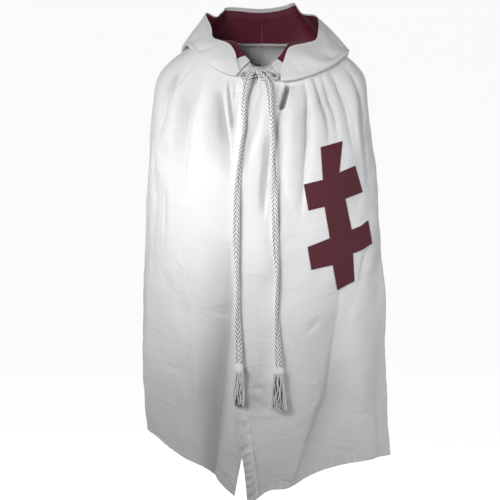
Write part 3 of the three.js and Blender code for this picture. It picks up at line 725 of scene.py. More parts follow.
def creaseDepth(creases, x, z):
    depth = np.zeros(x.shape)
    for i in range(len(creases["depth"])):
        row = {name: column[i] for name, column in creases.items()}
        ends = np.array([(row["fromX"], row["fromZ"]), (row["midX"], row["midZ"]), (row["toX"], row["toZ"])])
        reach = 3 * max(row["left"], row["right"])
        near = ((x > ends[:, 0].min() - reach) & (x < ends[:, 0].max() + reach)
                & (z > ends[:, 1].min() - reach) & (z < ends[:, 1].max() + reach))
        u = np.linspace(0, 1, 9)[:, None]
        bend = 2 * ends[1] - (ends[0] + ends[2]) / 2
        path = (1 - u) ** 2 * ends[0] + 2 * u * (1 - u) * bend + u * u * ends[2]
        share, off = alongPath(x[near], z[near], path)
        width = np.where(off < 0, row["left"], row["right"])
        fade = ease(share / 0.3) * ease((1 - share) / 0.3)
        depth[near] += row["depth"] * fade * np.exp(-(off / width) ** 2)
    return depth


def tuckDepth(tuck, x, z):
    share, off = alongPath(x, z, np.array([tuck["from"], tuck["to"]], float))
    ends = ease(share / 0.1) * ease((1 - share) / 0.05)
    slot = np.exp(-np.abs(off / np.where(off < 0, tuck["left"], tuck["right"])) ** 4)
    edge = tuck["edge"] * np.exp(-((off - 2 * tuck["right"]) / tuck["right"]) ** 2)
    return ends * (tuck["depth"] * slot + edge)


def unevenWave(at, pitch, seed):
    # a wave between 0 and 1 whose length and height vary
    shift = 0.35 * np.sin(at * 0.37 / pitch + seed) + 0.22 * np.sin(at * 0.91 / pitch + 2.3 * seed)
    wave = 0.5 - 0.5 * np.cos(2 * math.pi * (at / pitch + shift))
    return wave * (0.7 + 0.3 * np.sin(at * 1.3 / pitch + 1.7 * seed))


def throatShare(turn):
    # 1 at the throat and 0 away from it
    return np.exp(-((turn - neckSizes["middle"]) / neckSizes["throatTurns"]) ** 4)


def openingTurn(panel, level):
    return smoothCurve(opening, "level", "upper" if panel == "left" else "under", level)


def degreeWidth(level):
    # millimetres of cloth in a degree of turn
    return math.radians(1) * np.abs(bodyPoint(bodySizes["side"], level)[..., 0])


def gatherDepth(turn, level, panel):
    # gathers under the neckline, rolled over at the throat
    neck = neckSizes
    throat = throatShare(turn) if panel != "back" else 0.0
    fromMiddle = np.abs(turn - neck["middle"])
    gather = neck["gather"] + (neck["throatGather"] - neck["gather"]) * throat
    ends = neck["gatherEnds"] + neck["throatEnds"] * throat
    depth = -gather * unevenWave(turn, neck["gatherPitch"], 1.0) * (1 - ease(level / ends))
    rolls = 0.5 - 0.5 * np.cos(2 * math.pi * (level / neck["rollPitch"] + 0.02 * fromMiddle))
    above = 1 - ease((level - neck["rollFrom"]) / neck["rollOver"])
    depth = depth - neck["rollDepth"] * throat * rolls * above * ease(fromMiddle / neck["rollTurns"])
    slack = unevenWave(turn, neck["slackPitch"], 4.0) * ease(level / 0.05) * (1 - ease((level - 0.1) / 0.1))
    return depth - neck["slack"] * slack


def unevenDepth(turn, level):
    down = level * bodySizes["length"] * mm
    around = np.radians(turn) * bodySizes["meanRadius"]
    depth = np.zeros(np.broadcast(turn, level).shape)
    for i in range(len(unevenness["height"])):
        wave = {name: column[i] for name, column in unevenness.items()}
        angle = 2 * math.pi * (wave["around"] * around + wave["down"] * down) + wave["phase"]
        depth = depth + wave["height"] * np.sin(angle) * ease(level / 0.1)
    return depth


def hemDepth(turn, level, even):
    # the turned hem, its line of stitches and the waves that they pull
    fromHem = (1 - level) * bodySizes["length"]
    hem = 1 - ease((fromHem - hemSizes["width"] + 1) / 2)
    groove = np.exp(-((fromHem - hemSizes["width"]) / hemSizes["grooveWidth"]) ** 2)
    waves = unevenWave(turn, hemSizes["wavePitch"], 2.0) - 0.5
    waves = waves * np.exp(-(fromHem / hemSizes["waveReach"]) ** 2)
    return hemSizes["stand"] * hem - hemSizes["groove"] * groove + hemSizes["wave"] * even * waves


def frontEdgeDepth(turn, level, panel):
    # the turned edge of a front, rippled all along and puckered near the hem
    edge = frontEdge
    upper = panel == "left"
    inward = openingTurn(panel, level) - turn
    fromEdge = np.maximum(inward if upper else -inward, 0) * degreeWidth(level)
    low = ease((level - edge["puckerFrom"]) / 0.03) * (1 if upper else edge["underShare"])
    band = 1 - ease((fromEdge - edge["width"] + 2) / 4)
    seam = np.exp(-((fromEdge - edge["width"]) / edge["seamWidth"]) ** 2) * ease(level / 0.05)
    slant = level * bodySizes["length"] + 0.5 * fromEdge + 3 * np.sin(fromEdge * 0.22 + level * 41)
    ripple = unevenWave(slant, edge["puckerPitch"], 0.6) + 0.4 * unevenWave(slant, 7.5, 3.1)
    reach = np.exp(-(np.maximum(fromEdge - edge["rippleFlat"], 0) / edge["rippleReach"]) ** 2)
    arch = np.sin(np.clip(fromEdge / edge["width"], 0, 1) * math.pi) ** 0.7
    fromTop = level - edge["puckerFrom"] - edge["bandTopAt"]
    bulge = edge["bandTop"] * np.exp(-(fromTop / edge["bandTopWidth"]) ** 2) * upper
    stand = (edge["bandStand"] * low + bulge) * band * arch
    stitched = edge["stand"] * band - (edge["seamDepth"] + edge["lowSeam"] * low) * seam
    height = edge["ripple"] + (edge["pucker"] - edge["ripple"]) * low
    return stitched + stand + height * (ripple - 0.6) * reach * ease((level - 0.12) / 0.1)


def fineDepth(turn, level, panel):
    # gathers, creases and unevenness, and the turned and stitched edges
    base = bodyPoint(turn, level)
    x, z = base[..., 0], base[..., 2]
    creases = backCreases if panel == "back" else frontCreases
    depth = gatherDepth(turn, level, panel) + creaseDepth(creases, x, z) + unevenDepth(turn, level)
    # all of that dies away at the two side seams, so that their edges meet
    fromSeam = np.abs((turn - bodySizes["side"] + 90) % 180 - 90)
    even = ease(fromSeam / bodySizes["seamEven"])
    depth = depth * even + hemDepth(turn, level, even)
    if panel == "left":
        depth = depth + sum(tuckDepth(tuck, x, z) for tuck in tucks)
    return depth if panel == "back" else depth + frontEdgeDepth(turn, level, panel)


def lapOut(turn, panel):
    # the upper front stands over the under one at the opening
    if panel == "back":
        return np.zeros(np.shape(turn))
    ends = bodySizes["lapEase"] if panel == "left" else bodySizes["sinkEase"]
    share = ease((turn - ends[0]) / (ends[1] - ends[0]))
    return bodySizes["lapLift"] * share if panel == "left" else -bodySizes["lapSink"] * share


def clothPoints(turn, level, panel, *outs):
    # the folded cloth moved out by each of outs
    depth = foldDepth(turn, level) + fineDepth(turn, level, panel) + lapOut(turn, panel)
    base, normal = bodyPoint(turn, level), bodyNormal(turn, level)
    return [base + normal * (depth + out)[..., None] for out in outs]


def clothPoint(turn, level, panel, out=0.0):
    return clothPoints(turn, level, panel, out)[0]


# ---- walls of cloth ----
sharpAngle = math.radians(50)


def meshOf(name, points, faces, uv, material, fold):
    # a smooth mesh from points in millimetres, turned so that its faces point out
    a, b, c, d = (points[faces[:, k]] for k in range(4))
    volume = np.sum(a * np.cross(b, c)) + np.sum(a * np.cross(c, d))
    if volume < 0:
        faces = faces[:, ::-1]
    mesh = bpy.data.meshes.new(name)
    mesh.vertices.add(len(points))
    mesh.vertices.foreach_set("co", (points * mm).astype(np.float32).ravel())
    mesh.loops.add(faces.size)
    mesh.loops.foreach_set("vertex_index", faces.astype(np.int32).ravel())
    mesh.polygons.add(len(faces))
    mesh.polygons.foreach_set("loop_start", np.arange(0, faces.size, 4, dtype=np.int32))
    mesh.update(calc_edges=True)
    layer = mesh.uv_layers.new(name="cloth")
    layer.data.foreach_set("uv", uv[faces.ravel()].astype(np.float32).ravel())
    # the fold attribute carries the weight of painted shade in the cloth's colour
    if fold is not None:
        mesh.attributes.new("fold", "FLOAT", "POINT").data.foreach_set("value", fold.astype(np.float32))
    mesh.shade_smooth()
    mesh.set_sharp_from_angle(angle=sharpAngle)
    mesh.materials.append(material)
    return addObject(name, mesh)


def wall(name, outer, inner, uv, material, fold=None):
    # one closed wall between two grids of points
    rows, columns = outer.shape[:2]
    front = np.arange(rows * columns).reshape(rows, columns)
    back = front + rows * columns
    quads = lambda *corners: np.stack(corners, -1).reshape(-1, 4)
    faces = np.concatenate([
        quads(front[:-1, :-1], front[:-1, 1:], front[1:, 1:], front[1:, :-1]),
        quads(back[:-1, :-1], back[1:, :-1], back[1:, 1:], back[:-1, 1:]),
        quads(front[:-1, 0], front[1:, 0], back[1:, 0], back[:-1, 0]),
        quads(back[:-1, -1], back[1:, -1], front[1:, -1], front[:-1, -1]),
        quads(back[0, :-1], back[0, 1:], front[0, 1:], front[0, :-1]),
        quads(front[-1, :-1], front[-1, 1:], back[-1, 1:], back[-1, :-1]),
    ])
    points = np.concatenate([outer.reshape(-1, 3), inner.reshape(-1, 3)])
    flat = uv.reshape(-1, 2)
    if fold is not None:
        fold = np.concatenate([fold.ravel(), fold.ravel()])
    return meshOf(name, points, faces, np.concatenate([flat, flat]), material, fold)


def sheetArea(grid):
    # area in square metres of one side of a grid of points in millimetres
    a = grid[1:, 1:] - grid[:-1, :-1]
    b = grid[1:, :-1] - grid[:-1, 1:]
    return float(np.sum(np.linalg.norm(np.cross(a, b), axis=-1)) / 2 * mm * mm)


# ---- the two fronts and the back ----
panelGrid = {"columns": 150, "top": 0.26, "topRows": 124, "hem": 0.96, "middleRows": 168, "hemRows": 26}


def panelLevels():
    return np.concatenate([
        np.linspace(0, panelGrid["top"], panelGrid["topRows"], endpoint=False),
        np.linspace(panelGrid["top"], panelGrid["hem"], panelGrid["middleRows"], endpoint=False),
        np.linspace(panelGrid["hem"], 1, panelGrid["hemRows"]),
    ])


def panelTurns(panel, levels):
    # the turn of each column at each level, closer together towards the opening
    side = bodySizes["side"]
    trim = bodySizes["seamGap"] / 2 / degreeWidth(levels)
    share = np.linspace(0, 1, panelGrid["columns"])
    closer = share * 1.35 - 0.35 * share ** 2
    if panel == "back":
        start, end, step = side + trim, 360 - side - trim, share
    elif panel == "left":
        start, end, step = -side + trim, openingTurn(panel, levels), closer
    else:
        start, end, step = side - trim, openingTurn(panel, levels), closer
    return start[:, None] + (end - start)[:, None] * step


def makePanel(name, panel, node):
    levels = panelLevels()
    turns = panelTurns(panel, levels)
    rows = levels[:, None] + 0 * turns
    outer, inner = clothPoints(turns, rows, panel, 0, -bodySizes["cloth"])
    uv = np.stack([np.radians(turns) * bodySizes["meanRadius"], -rows * bodySizes["length"] * mm], -1)
    # painted shade: how much the cloth's colour is darkened, most in deep troughs, at the throat under the
    # hood's edge and in the open tuck
    fold = 0.5 * np.clip(-foldDepth(turns, rows) / bodySizes["foldShade"], 0, 1)
    if panel != "back":
        fold = fold + throatShare(turns) * np.exp(-(rows / 0.02) ** 2)
    if panel == "left":
        base = bodyPoint(turns, rows)
        fold = fold + np.clip(-tuckDepth(tucks[0], base[..., 0], base[..., 2]) / 20, 0, 1)
    piece = wall(name, outer, inner, uv, whiteCloth, fold)
    setPiece(piece, [node])
    return piece, sheetArea(outer)


panels = {}
for name, panel, node in (
    ("front_wearers_left", "left", "left_front"),
    ("front_wearers_right", "right", "right_front"),
    ("back_panel", "back", "back"),
):
    panels[panel] = makePanel(name, panel, node)
    print("panel made:", name, "area", round(panels[panel][1], 3))


# ---- the hood ----
hoodRows = table("turn level lift bulge rimX rimY rimZ", [
    (27, 0.062, 9, 3, -54, -90, -38), (33, 0.073, 9, 4, -62, -81, -20), (40, 0.083, 10, 5, -68, -68, 9),
    (47, 0.091, 10, 6, -82, -56, 32), (54, 0.099, 11, 6, -106, -52, 43), (62, 0.105, 11, 5, -124, -46, 52),
    (71, 0.108, 12, 4, -129, -28, 80), (82, 0.110, 13, 2, -145, 5, 119), (103, 0.128, 17, 8, -117, 55, 121),
    (128, 0.160, 24, 16, -103, 85, 142), (154, 0.200, 30, 22, -84, 108, 156),
    (180, 0.222, 34, 26, 1, 122, 154),
    (204, 0.204, 31, 22, 59, 118, 161), (226, 0.172, 25, 16, 86, 106, 166),
    (247, 0.145, 19, 10, 106, 78, 135),
    (266, 0.134, 15, 5, 135, 45, 124), (283, 0.133, 13, 3, 146, 20, 106), (292, 0.128, 12, 4, 144, -8, 81),
    (301, 0.121, 11, 6, 137, -32, 50), (311, 0.108, 11, 7, 108, -46, 37), (321, 0.092, 10, 7, 78, -56, 29),
    (330, 0.079, 10, 5, 63, -66, 15), (336, 0.071, 9, 4, 54, -78, -13), (341, 0.065, 9, 3, 44, -89, -37),
])
# soft creases of the hood, by turn and by how far along its profile they run
hoodCreases = table("fromTurn fromAlong midTurn midAlong toTurn toAlong widthOn widthBack depth", [
    (68, 5.2, 60, 6.3, 52, 7.8, 5.0, 2.6, -6), (80, 5.1, 76, 6.0, 72, 7.4, 3.5, 3.0, -5),
    (50, 5.1, 46, 6.0, 42, 7.2, 4.0, 4.0, 3), (304, 5.2, 312, 6.2, 318, 7.6, 4.0, 5.0, 4),
    (292, 5.2, 300, 6.1, 306, 7.4, 5.0, 3.5, -6), (322, 5.1, 326, 6.0, 330, 7.4, 3.5, 3.5, -3),
    (280, 5.2, 284, 6.2, 290, 7.5, 4.0, 3.0, -4), (104, 5.1, 110, 6.2, 118, 7.6, 6.0, 6.0, -6),
    (140, 5.1, 148, 6.2, 152, 7.6, 7.0, 7.0, 5), (168, 5.1, 170, 6.2, 166, 7.6, 6.0, 4.0, -7),
    (198, 5.1, 194, 6.2, 196, 7.6, 6.0, 6.0, 4), (222, 5.1, 218, 6.2, 212, 7.6, 4.0, 6.0, -7),
    (256, 5.1, 250, 6.2, 240, 7.6, 6.0, 4.0, -5),
])
hoodSizes = {
    "cloth": 1.3, "lining": 0.9, "liningIn": 1.7, "seamLift": 1.2, "foldRadius": 3.6, "settle": 1.5,
    "columns": 110, "rimHem": 0.11, "seamTurn": 0.03, "liningStops": 7.92, "facing": 13,
    "uvRadius": 0.16, "uvStep": 0.03,       # metres of cloth for a radian and for a step along the profile
}
# slow unevenness of the hood above its fold
hoodUnevenness = ((0.11, 1.1, 0.3, 0.7), (-0.17, 2.3, 1.9, 0.5), (0.29, 1.7, 4.2, 0.4))


def hoodProfile(turn):
    # from the neckline out over the shoulder, round the fold and up to the rim
    at = lambda name: smoothCurve(hoodRows, "turn", name, turn)
    level, lift, bulge = at("level"), at("lift") - hoodSizes["settle"], at("bulge")
    lap = lapOut(np.where(turn > 180, turn - 360, -180), "left")

    def over(share, out):
        return bodyPoint(turn, level * share) + bodyNormal(turn, level * share) * (out + lap)[..., None]

    rim = np.stack([at("rimX"), at("rimY"), at("rimZ")], -1)
    fold = over(1, lift)
    out = bodyNormal(turn, level)
    rise = rim - fold
    radius = hoodSizes["foldRadius"]
    push = lambda amount: out * np.broadcast_to(amount, turn.shape)[..., None]
    return np.stack([
        over(0, hoodSizes["seamLift"] + 0 * lift), over(0.15, 0.3 * lift), over(0.45, 0.4 * lift),
        over(0.8, 0.42 * lift), fold - push(radius), fold + push(radius),
        fold + rise * 0.2 + push(radius + bulge * 0.4), fold + rise * 0.6 + push(bulge), rim,
    ])


def hoodPoint(turn, along):
    single, place = np.unique(turn.ravel(), return_inverse=True)
    flat = throughPoints(hoodProfile(single)[:, place], along.ravel())
    return flat.reshape(turn.shape + (3,))


def hoodNormal(turn, along):
    turnStep, step = 1, 0.05
    first, last = hoodRows["turn"][0], hoodRows["turn"][-1]
    after, before = np.minimum(turn + turnStep, last), np.maximum(turn - turnStep, first)
    across = hoodPoint(after, along) - hoodPoint(before, along)
    low, high = np.maximum(along - step, 0), np.minimum(along + step, 8)
    return unit(np.cross(hoodPoint(turn, high) - hoodPoint(turn, low), across))


def hoodDepth(turn, along):
    depth = foldSum(hoodCreases, turn, along, ("Along", "Turn"))
    for around, up, phase, height in hoodUnevenness:
        depth += height * np.sin(around * turn + up * along + phase) * ease((along - 5) / 0.5)
    return depth


def hoodSurface(turn, along, inward):
    normal = hoodNormal(turn, along)
    rim = np.exp(-((8 - along - hoodSizes["rimHem"] * 2) / 0.05) ** 2)
    depth = hoodDepth(turn, along) - 0.5 * rim - inward
    return hoodPoint(turn, along) + normal * depth[..., None]


def hoodAlong(stop):
    # rows lie closer round the fold and at the rim
    return np.concatenate([
        np.linspace(0, 3.4, 20, endpoint=False), np.linspace(3.4, 5.2, 28, endpoint=False),
        np.linspace(5.2, 7.6, 34, endpoint=False), np.linspace(7.6, stop, 14),
    ])


def makeHoodLayer(name, turns, stop, inward, thickness, material):
    along, turn = np.meshgrid(hoodAlong(stop), turns, indexing="ij")
    outer = hoodSurface(turn, along, inward)
    inner = hoodSurface(turn, along, inward + thickness)
    uv = np.stack([np.radians(turn) * hoodSizes["uvRadius"], along * hoodSizes["uvStep"]], -1)
    piece = wall(name, outer, inner, uv, material)
    if material is wineLining:   # a white facing at the front ends
        piece.data.materials.append(whiteCloth)
        ends = (hoodRows["turn"][0] + hoodSizes["facing"], hoodRows["turn"][-1] - hoodSizes["facing"])
        edges = [math.radians(end) * hoodSizes["uvRadius"] for end in ends]
        layer = piece.data.uv_layers["cloth"].data
        for face in piece.data.polygons:
            place = layer[face.loop_start].uv[0]
            face.material_index = int(place < edges[0] or place > edges[1])
    return piece, sheetArea(outer)


for side in ("right", "left"):
    first, last, seam = hoodRows["turn"][0], hoodRows["turn"][-1], hoodSizes["seamTurn"]
    ends = (first, 180 - seam) if side == "right" else (180 + seam, last)
    turns = np.linspace(*ends, hoodSizes["columns"])
    outside = makeHoodLayer(f"hood_cloth_{side}", turns, 8.0, 0, hoodSizes["cloth"], whiteCloth)
    inside = makeHoodLayer(
        f"hood_inside_{side}", turns, hoodSizes["liningStops"], hoodSizes["liningIn"],
        hoodSizes["lining"], wineLining,
    )
    setPiece(outside[0], [f"hood_{side}"])
    setPiece(inside[0], [f"hood_lining_{side}"])
print("hood made")


# ---- the cross ----
crossOutline = [
    (143, -233), (198, -216), (189, -295), (230, -277), (249, -342), (204, -360), (220, -436),
    (243, -427), (263, -412), (273, -470), (247, -486), (223, -495), (227, -563), (184, -585),
    (172, -523), (119, -535), (110, -479), (165, -457), (152, -380), (112, -390), (101, -325), (148, -314),
]
crossSizes = {"lift": 0.4, "cloth": 1.3, "cell": 5, "stitchIn": 3}


def findPlace(x, z):
    # the turn and level of the wearer's left front that are seen at x, z
    turn = np.full(x.shape, -45.0)
    level = np.clip(0.1 - z / 1000, 0.05, 0.9)
    for _ in range(8):
        here = clothPoint(turn, level, "left")
        byTurn = (clothPoint(turn + 0.4, level, "left") - here) / 0.4
        byLevel = (clothPoint(turn, level + 0.003, "left") - here) / 0.003
        missX, missZ = x - here[..., 0], z - here[..., 2]
        det = byTurn[..., 0] * byLevel[..., 2] - byLevel[..., 0] * byTurn[..., 2]
        turnMove = (missX * byLevel[..., 2] - byLevel[..., 0] * missZ) / det
        levelMove = (byTurn[..., 0] * missZ - missX * byTurn[..., 2]) / det
        turn = np.clip(turn + np.clip(turnMove, -8, 8), -85, 5)
        level = np.clip(level + np.clip(levelMove, -0.05, 0.05), 0.03, 0.97)
    return turn, level


def makeCross():
    flat = bmesh.new()
    corners = [flat.verts.new((x, 0, z)) for x, z in crossOutline]
    flat.faces.new(corners)
    outline = np.array(crossOutline, float)
    for axis, normal in ((0, (1, 0, 0)), (1, (0, 0, 1))):
        low, high = outline[:, axis].min(), outline[:, axis].max()
        for at in np.arange(low + crossSizes["cell"], high, crossSizes["cell"]):
            place = (at, 0, 0) if axis == 0 else (0, 0, at)
            bmesh.ops.bisect_plane(flat, geom=flat.verts[:] + flat.edges[:] + flat.faces[:],
                                   plane_co=place, plane_no=normal, dist=0.01)
    flat.verts.index_update()
    seen = np.array([vertex.co[:] for vertex in flat.verts])
    turn, level = findPlace(seen[:, 0], seen[:, 2])
    lifts = (crossSizes["lift"] + crossSizes["cloth"], crossSizes["lift"])
    top, bottom = (layer * mm for layer in clothPoints(turn, level, "left", *lifts))
    solid = bmesh.new()
    upper = [solid.verts.new(point) for point in top]
    lower = [solid.verts.new(point) for point in bottom]
    layer = solid.loops.layers.uv.new("cloth")
    for face in flat.faces:
        ids = [vertex.index for vertex in face.verts]
        solid.faces.new([upper[i] for i in ids])
        solid.faces.new([lower[i] for i in reversed(ids)])
    for edge in flat.edges:
        if edge.is_boundary:
            i, j = (vertex.index for vertex in edge.verts)
            solid.faces.new([upper[i], upper[j], lower[j], lower[i]])
    for face in solid.faces:
        for loop in face.loops:
            loop[layer].uv = (loop.vert.co.x, loop.vert.co.z)
    bmesh.ops.recalc_face_normals(solid, faces=solid.faces[:])
    mesh = bpy.data.meshes.new("cross_cloth")
    solid.to_mesh(mesh)
    area = sum(face.calc_area() for face in solid.faces) / 2
    solid.free()
    flat.free()
    mesh.shade_smooth()
    mesh.set_sharp_from_angle(angle=sharpAngle)
    mesh.materials.append(wineCross)
    return addObject("cross_cloth", mesh), area


crossPiece, crossArea = makeCross()
setPiece(crossPiece, ["cross"])
print("cross made, area", round(crossArea, 4))


# ---- shared by fasteners, tassels and floor ----
def changeHollow(mesh, change):
    # works out the painted shade weight again from the points, in millimetres, and its own values
    points = np.zeros(len(mesh.vertices) * 3, np.float32)
    mesh.vertices.foreach_get("co", points)
    hollowShade = np.zeros(len(mesh.vertices), np.float32)
    data = mesh.attributes["hollowShade"].data
    data.foreach_get("value", hollowShade)
    data.foreach_set("value", change(points.reshape(-1, 3) / mm, hollowShade).astype(np.float32))


def ringFaces(rings, around):
    # the numbers of points that lie in rings, and the faces between the rings
    index = np.arange(rings * around).reshape(rings, around)
    across = np.roll(index, -1, axis=1)
    faces = np.stack([index[:-1], index[1:], across[1:], across[:-1]], -1).reshape(-1, 4)
    return index, faces.tolist()


# ---- throat fasteners ----
frogPlaces = {
    "right": ((-46.5, -99.5, -51), (-22, -93, -48)),
    "left": ((30, -100, -53), (4, -93, -48)),
}
frogSizes = {
    "outerRing": 10.2, "innerRing": 5.9, "cord": 4.6, "lean": 0.53, "knot": 5.6, "ringPoints": 36,
    "knotPoints": 20, "knotTilts": (-0.9, 0.0, 0.9), "sides": 6, "step": 1.3, "pitch": 11,
    "ropeShade": 0.8, "holeShade": 0.3,
}


def ringPoints(middle, radius, wobble):
    angle = np.linspace(0, 2 * math.pi, frogSizes["ringPoints"], endpoint=False)
    r = radius * (1 + 0.04 * np.sin(3 * angle + wobble))
    lean = frogSizes["lean"]
    flat = np.stack(
        [r * np.cos(angle), np.sin(lean) * r * np.sin(angle), np.cos(lean) * r * np.sin(angle)], -1,
    )
    return (flat + np.array(middle)) * mm


def holeShade(points, hollowShade, middles):
    # painted shade, weaker along the rope and darker round the hole of each loop
    hollowShade = hollowShade * frogSizes["ropeShade"]
    for middle in middles:
        off = np.hypot(*(points - middle)[:, ::2].T) / frogSizes["innerRing"]
        hollowShade = hollowShade + frogSizes["holeShade"] * np.clip(1.1 - off, 0, 1) * 2
    return hollowShade


def makeFrog(side):
    outer, inner = (np.array(place, float) for place in frogPlaces[side])
    lines = []
    for i, middle in enumerate((outer, inner)):
        lines.append(ringPoints(middle, frogSizes["outerRing"], i))
        lines.append(ringPoints(middle + (0, -1.2, 0), frogSizes["innerRing"], i + 2))
    knot = (outer + inner) / 2 + (0, -1.5, 0)
    for tilt in frogSizes["knotTilts"]:   # turns round the waist between the loops
        angle = np.linspace(0, 2 * math.pi, frogSizes["knotPoints"], endpoint=False)
        r = frogSizes["knot"]
        x = r * 0.75 * np.sin(tilt) + 1.2 * np.cos(angle) * np.cos(tilt)
        turn = np.stack([x, r * 0.62 * np.cos(angle), r * np.sin(angle)], -1)
        lines.append((turn + knot) * mm)
    name = f"frog_knots_{side}"
    values = ropeValues(frogSizes["cord"], 2, frogSizes["pitch"], frogSizes["sides"], frogSizes["step"])
    piece = runTree(name, ropes, lineMesh(name, lines, closed=True), values)
    changeHollow(piece.data, lambda points, hollowShade: holeShade(points, hollowShade, (outer, inner)))
    return setPiece(piece, [f"frog_{side}"])


for side in frogPlaces:
    makeFrog(side)
print("fasteners made")


# ---- tassels ----
tasselSizes = {
    "gap": 1, "height": 22, "skirt": 85, "flat": 0.7, "strand": 3.4, "pitch": 10, "sides": 6, "step": 2.0,
    "strandPoints": 26, "ropeShade": 0.35, "innerShade": 0.9, "headPoints": 64, "headRows": 72, "thread": 2.4,
    "headRadius": {"right": 11.3, "left": 14},
    "windings": {"right": 0.9, "left": 0.15},       # how far the thread wound round the head stands out
    "spread": {"right": 0.8, "left": 1.0},
    "rings": ((17, 12.0, 18.5, 0.0), (11, 8.0, 13.0, 0.3), (6, 3.5, 6.0, 0.8)),
}
headProfile = table("radius drop", [
    (0.0, 0.0), (0.3, 0.1), (0.55, 1.2), (0.8, 3.4), (0.95, 6.6), (1.0, 10.5), (0.97, 14.5),
    (0.84, 18.5), (0.62, 21.5), (0.35, 23.2), (0.0, 23.6),
])


def makeHead(side, top):
    around = tasselSizes["headPoints"]
    profile = np.stack([headProfile["radius"], headProfile["drop"], 0 * headProfile["drop"]], -1)
    profile, _, _ = evenPoints(profile * (tasselSizes["headRadius"][side], 1, 1), tasselSizes["headRows"])
    radius, drop = profile[:, 0], profile[:, 1]
    angle = np.linspace(0, 2 * math.pi, around, endpoint=False)
    body = ease(drop / 3) * (1 - ease((drop - 19) / 3))
    wound = np.cos(2 * math.pi * drop[:, None] / tasselSizes["thread"] + angle) - 1
    r = radius[:, None] + tasselSizes["windings"][side] * body[:, None] * wound * 0.5
    points = np.stack([
        top[0] + r * np.cos(angle), top[1] + r * np.sin(angle), top[2] - drop[:, None] + 0 * angle,
    ], -1)[1:-1].reshape(-1, 3)
    index, faces = ringFaces(len(profile) - 2, around)
    faces += [index[0].tolist(), index[-1][::-1].tolist()]
    mesh = bpy.data.meshes.new(f"tassel_head_{side}")
    mesh.from_pydata((points * mm).tolist(), [], faces)
    mesh.shade_smooth()
    mesh.materials.append(cordCotton)
    return mesh


def tasselLines(side, top, seed):
    pick = np.random.default_rng(seed)
    lines = []
    for count, root, end, start in tasselSizes["rings"]:
        for i in range(count):
            angle = 2 * math.pi * (i + 0.35 * pick.uniform(-1, 1)) / count + start
            reach = end * pick.uniform(0.8, 1.12)
            sway = pick.uniform(-0.4, 0.4)
            length = tasselSizes["skirt"] * pick.uniform(0.84, 1.0)
            kink, phase, waves = pick.uniform(1.2, 3.0), pick.uniform(0, 6.3), pick.uniform(6, 13)
            u = np.linspace(0, 1, tasselSizes["strandPoints"])
            r = (root + (reach - root) * u ** 1.8) * tasselSizes["spread"][side]
            turn = angle + sway * u ** 2
            x = top[0] + r * np.cos(turn) + kink * ease(3 * u) * np.sin(waves * u + phase)
            y = top[1] + tasselSizes["flat"] * (
                r * np.sin(turn) + kink * ease(3 * u) * np.cos(waves * u + phase)
            )
            z = top[2] - tasselSizes["height"] + 5 - (length + 5) * u
            lines.append(np.stack([x, y, z], -1) * mm)
    return lines


def skirtShade(points, hollowShade, side, top):
    # painted shade, little between a strand's own threads and more towards the middle of the skirt
    x, y, z = points.T
    share = np.clip((top[2] - tasselSizes["height"] - z) / tasselSizes["skirt"], 0, 1)
    _, root, end, _ = tasselSizes["rings"][0]
    reach = (root + (end - root) * share ** 1.8) * tasselSizes["spread"][side]
    off = np.hypot(x - top[0], (y - top[1]) / tasselSizes["flat"]) / reach
    return tasselSizes["ropeShade"] * hollowShade + tasselSizes["innerShade"] * np.clip(1.0 - off, 0, 1)


def makeTassel(side, seed):
    end = np.array(cordRoutes[side][-1], float)
    top = end - (0, 0, tasselSizes["gap"])
    name = f"tassel_strands_{side}"
    sizes = (tasselSizes[key] for key in ("pitch", "sides", "step"))
    values = ropeValues(tasselSizes["strand"], 2, *sizes)
    piece = runTree(name, ropes, lineMesh(name, tasselLines(side, top, seed)), values)
    changeHollow(piece.data, lambda points, hollowShade: skirtShade(points, hollowShade, side, top))
    joined = bmesh.new()
    joined.from_mesh(piece.data)
    joined.from_mesh(makeHead(side, top))
    joined.to_mesh(piece.data)
    joined.free()
    return setPiece(piece, [f"tassel_{side}"])


tassels = {side: makeTassel(side, seed) for side, seed in (("right", 7), ("left", 8))}
print("tassels made")


# ---- sewing ----
sewing = {"pitch": 3.4, "length": 2.8, "thickness": 0.5, "lift": 0.15, "linePoints": 260, "rimPoints": 420}


def frontLine(panel):
    levels = np.linspace(0.045, 0.985, sewing["linePoints"])
    edge = openingTurn(panel, levels)
    width = frontEdge["width"] / degreeWidth(levels)
    turns = edge - width if panel == "left" else edge + width
    return clothPoint(turns, levels, panel, sewing["lift"]) * mm


def hemStitchLine(panel, fromTurn, toTurn):
    turns = np.linspace(fromTurn, toTurn, sewing["linePoints"])
    level = 1 - hemSizes["width"] / bodySizes["length"]
    return clothPoint(turns, np.full(turns.shape, level), panel, sewing["lift"]) * mm


def rimLine():
    turns = np.linspace(hoodRows["turn"][0] + 1, hoodRows["turn"][-1] - 1, sewing["rimPoints"])
    along = np.full(turns.shape, 8 - hoodSizes["rimHem"] * 2)
    return hoodSurface(turns, along, -sewing["lift"]) * mm


def crossStitchLine():
    outline = np.array(crossOutline, float)
    following, before = np.roll(outline, -1, axis=0), np.roll(outline, 1, axis=0)
    first, second = unit(outline - before), unit(following - outline)
    inside = lambda way: np.stack([way[:, 1], -way[:, 0]], -1)
    middle = inside(first) + inside(second)
    shift = middle / np.sum(middle * inside(first), -1, keepdims=True)
    inset = outline + shift * crossSizes["stitchIn"]
    ends = np.concatenate([inset, inset[:1]])
    spots = np.concatenate([np.linspace(a, b, 24, endpoint=False) for a, b in zip(ends[:-1], ends[1:])])
    turn, level = findPlace(spots[:, 0], spots[:, 1])
    lift = crossSizes["lift"] + crossSizes["cloth"] + sewing["lift"]
    return clothPoint(turn, level, "left", lift) * mm


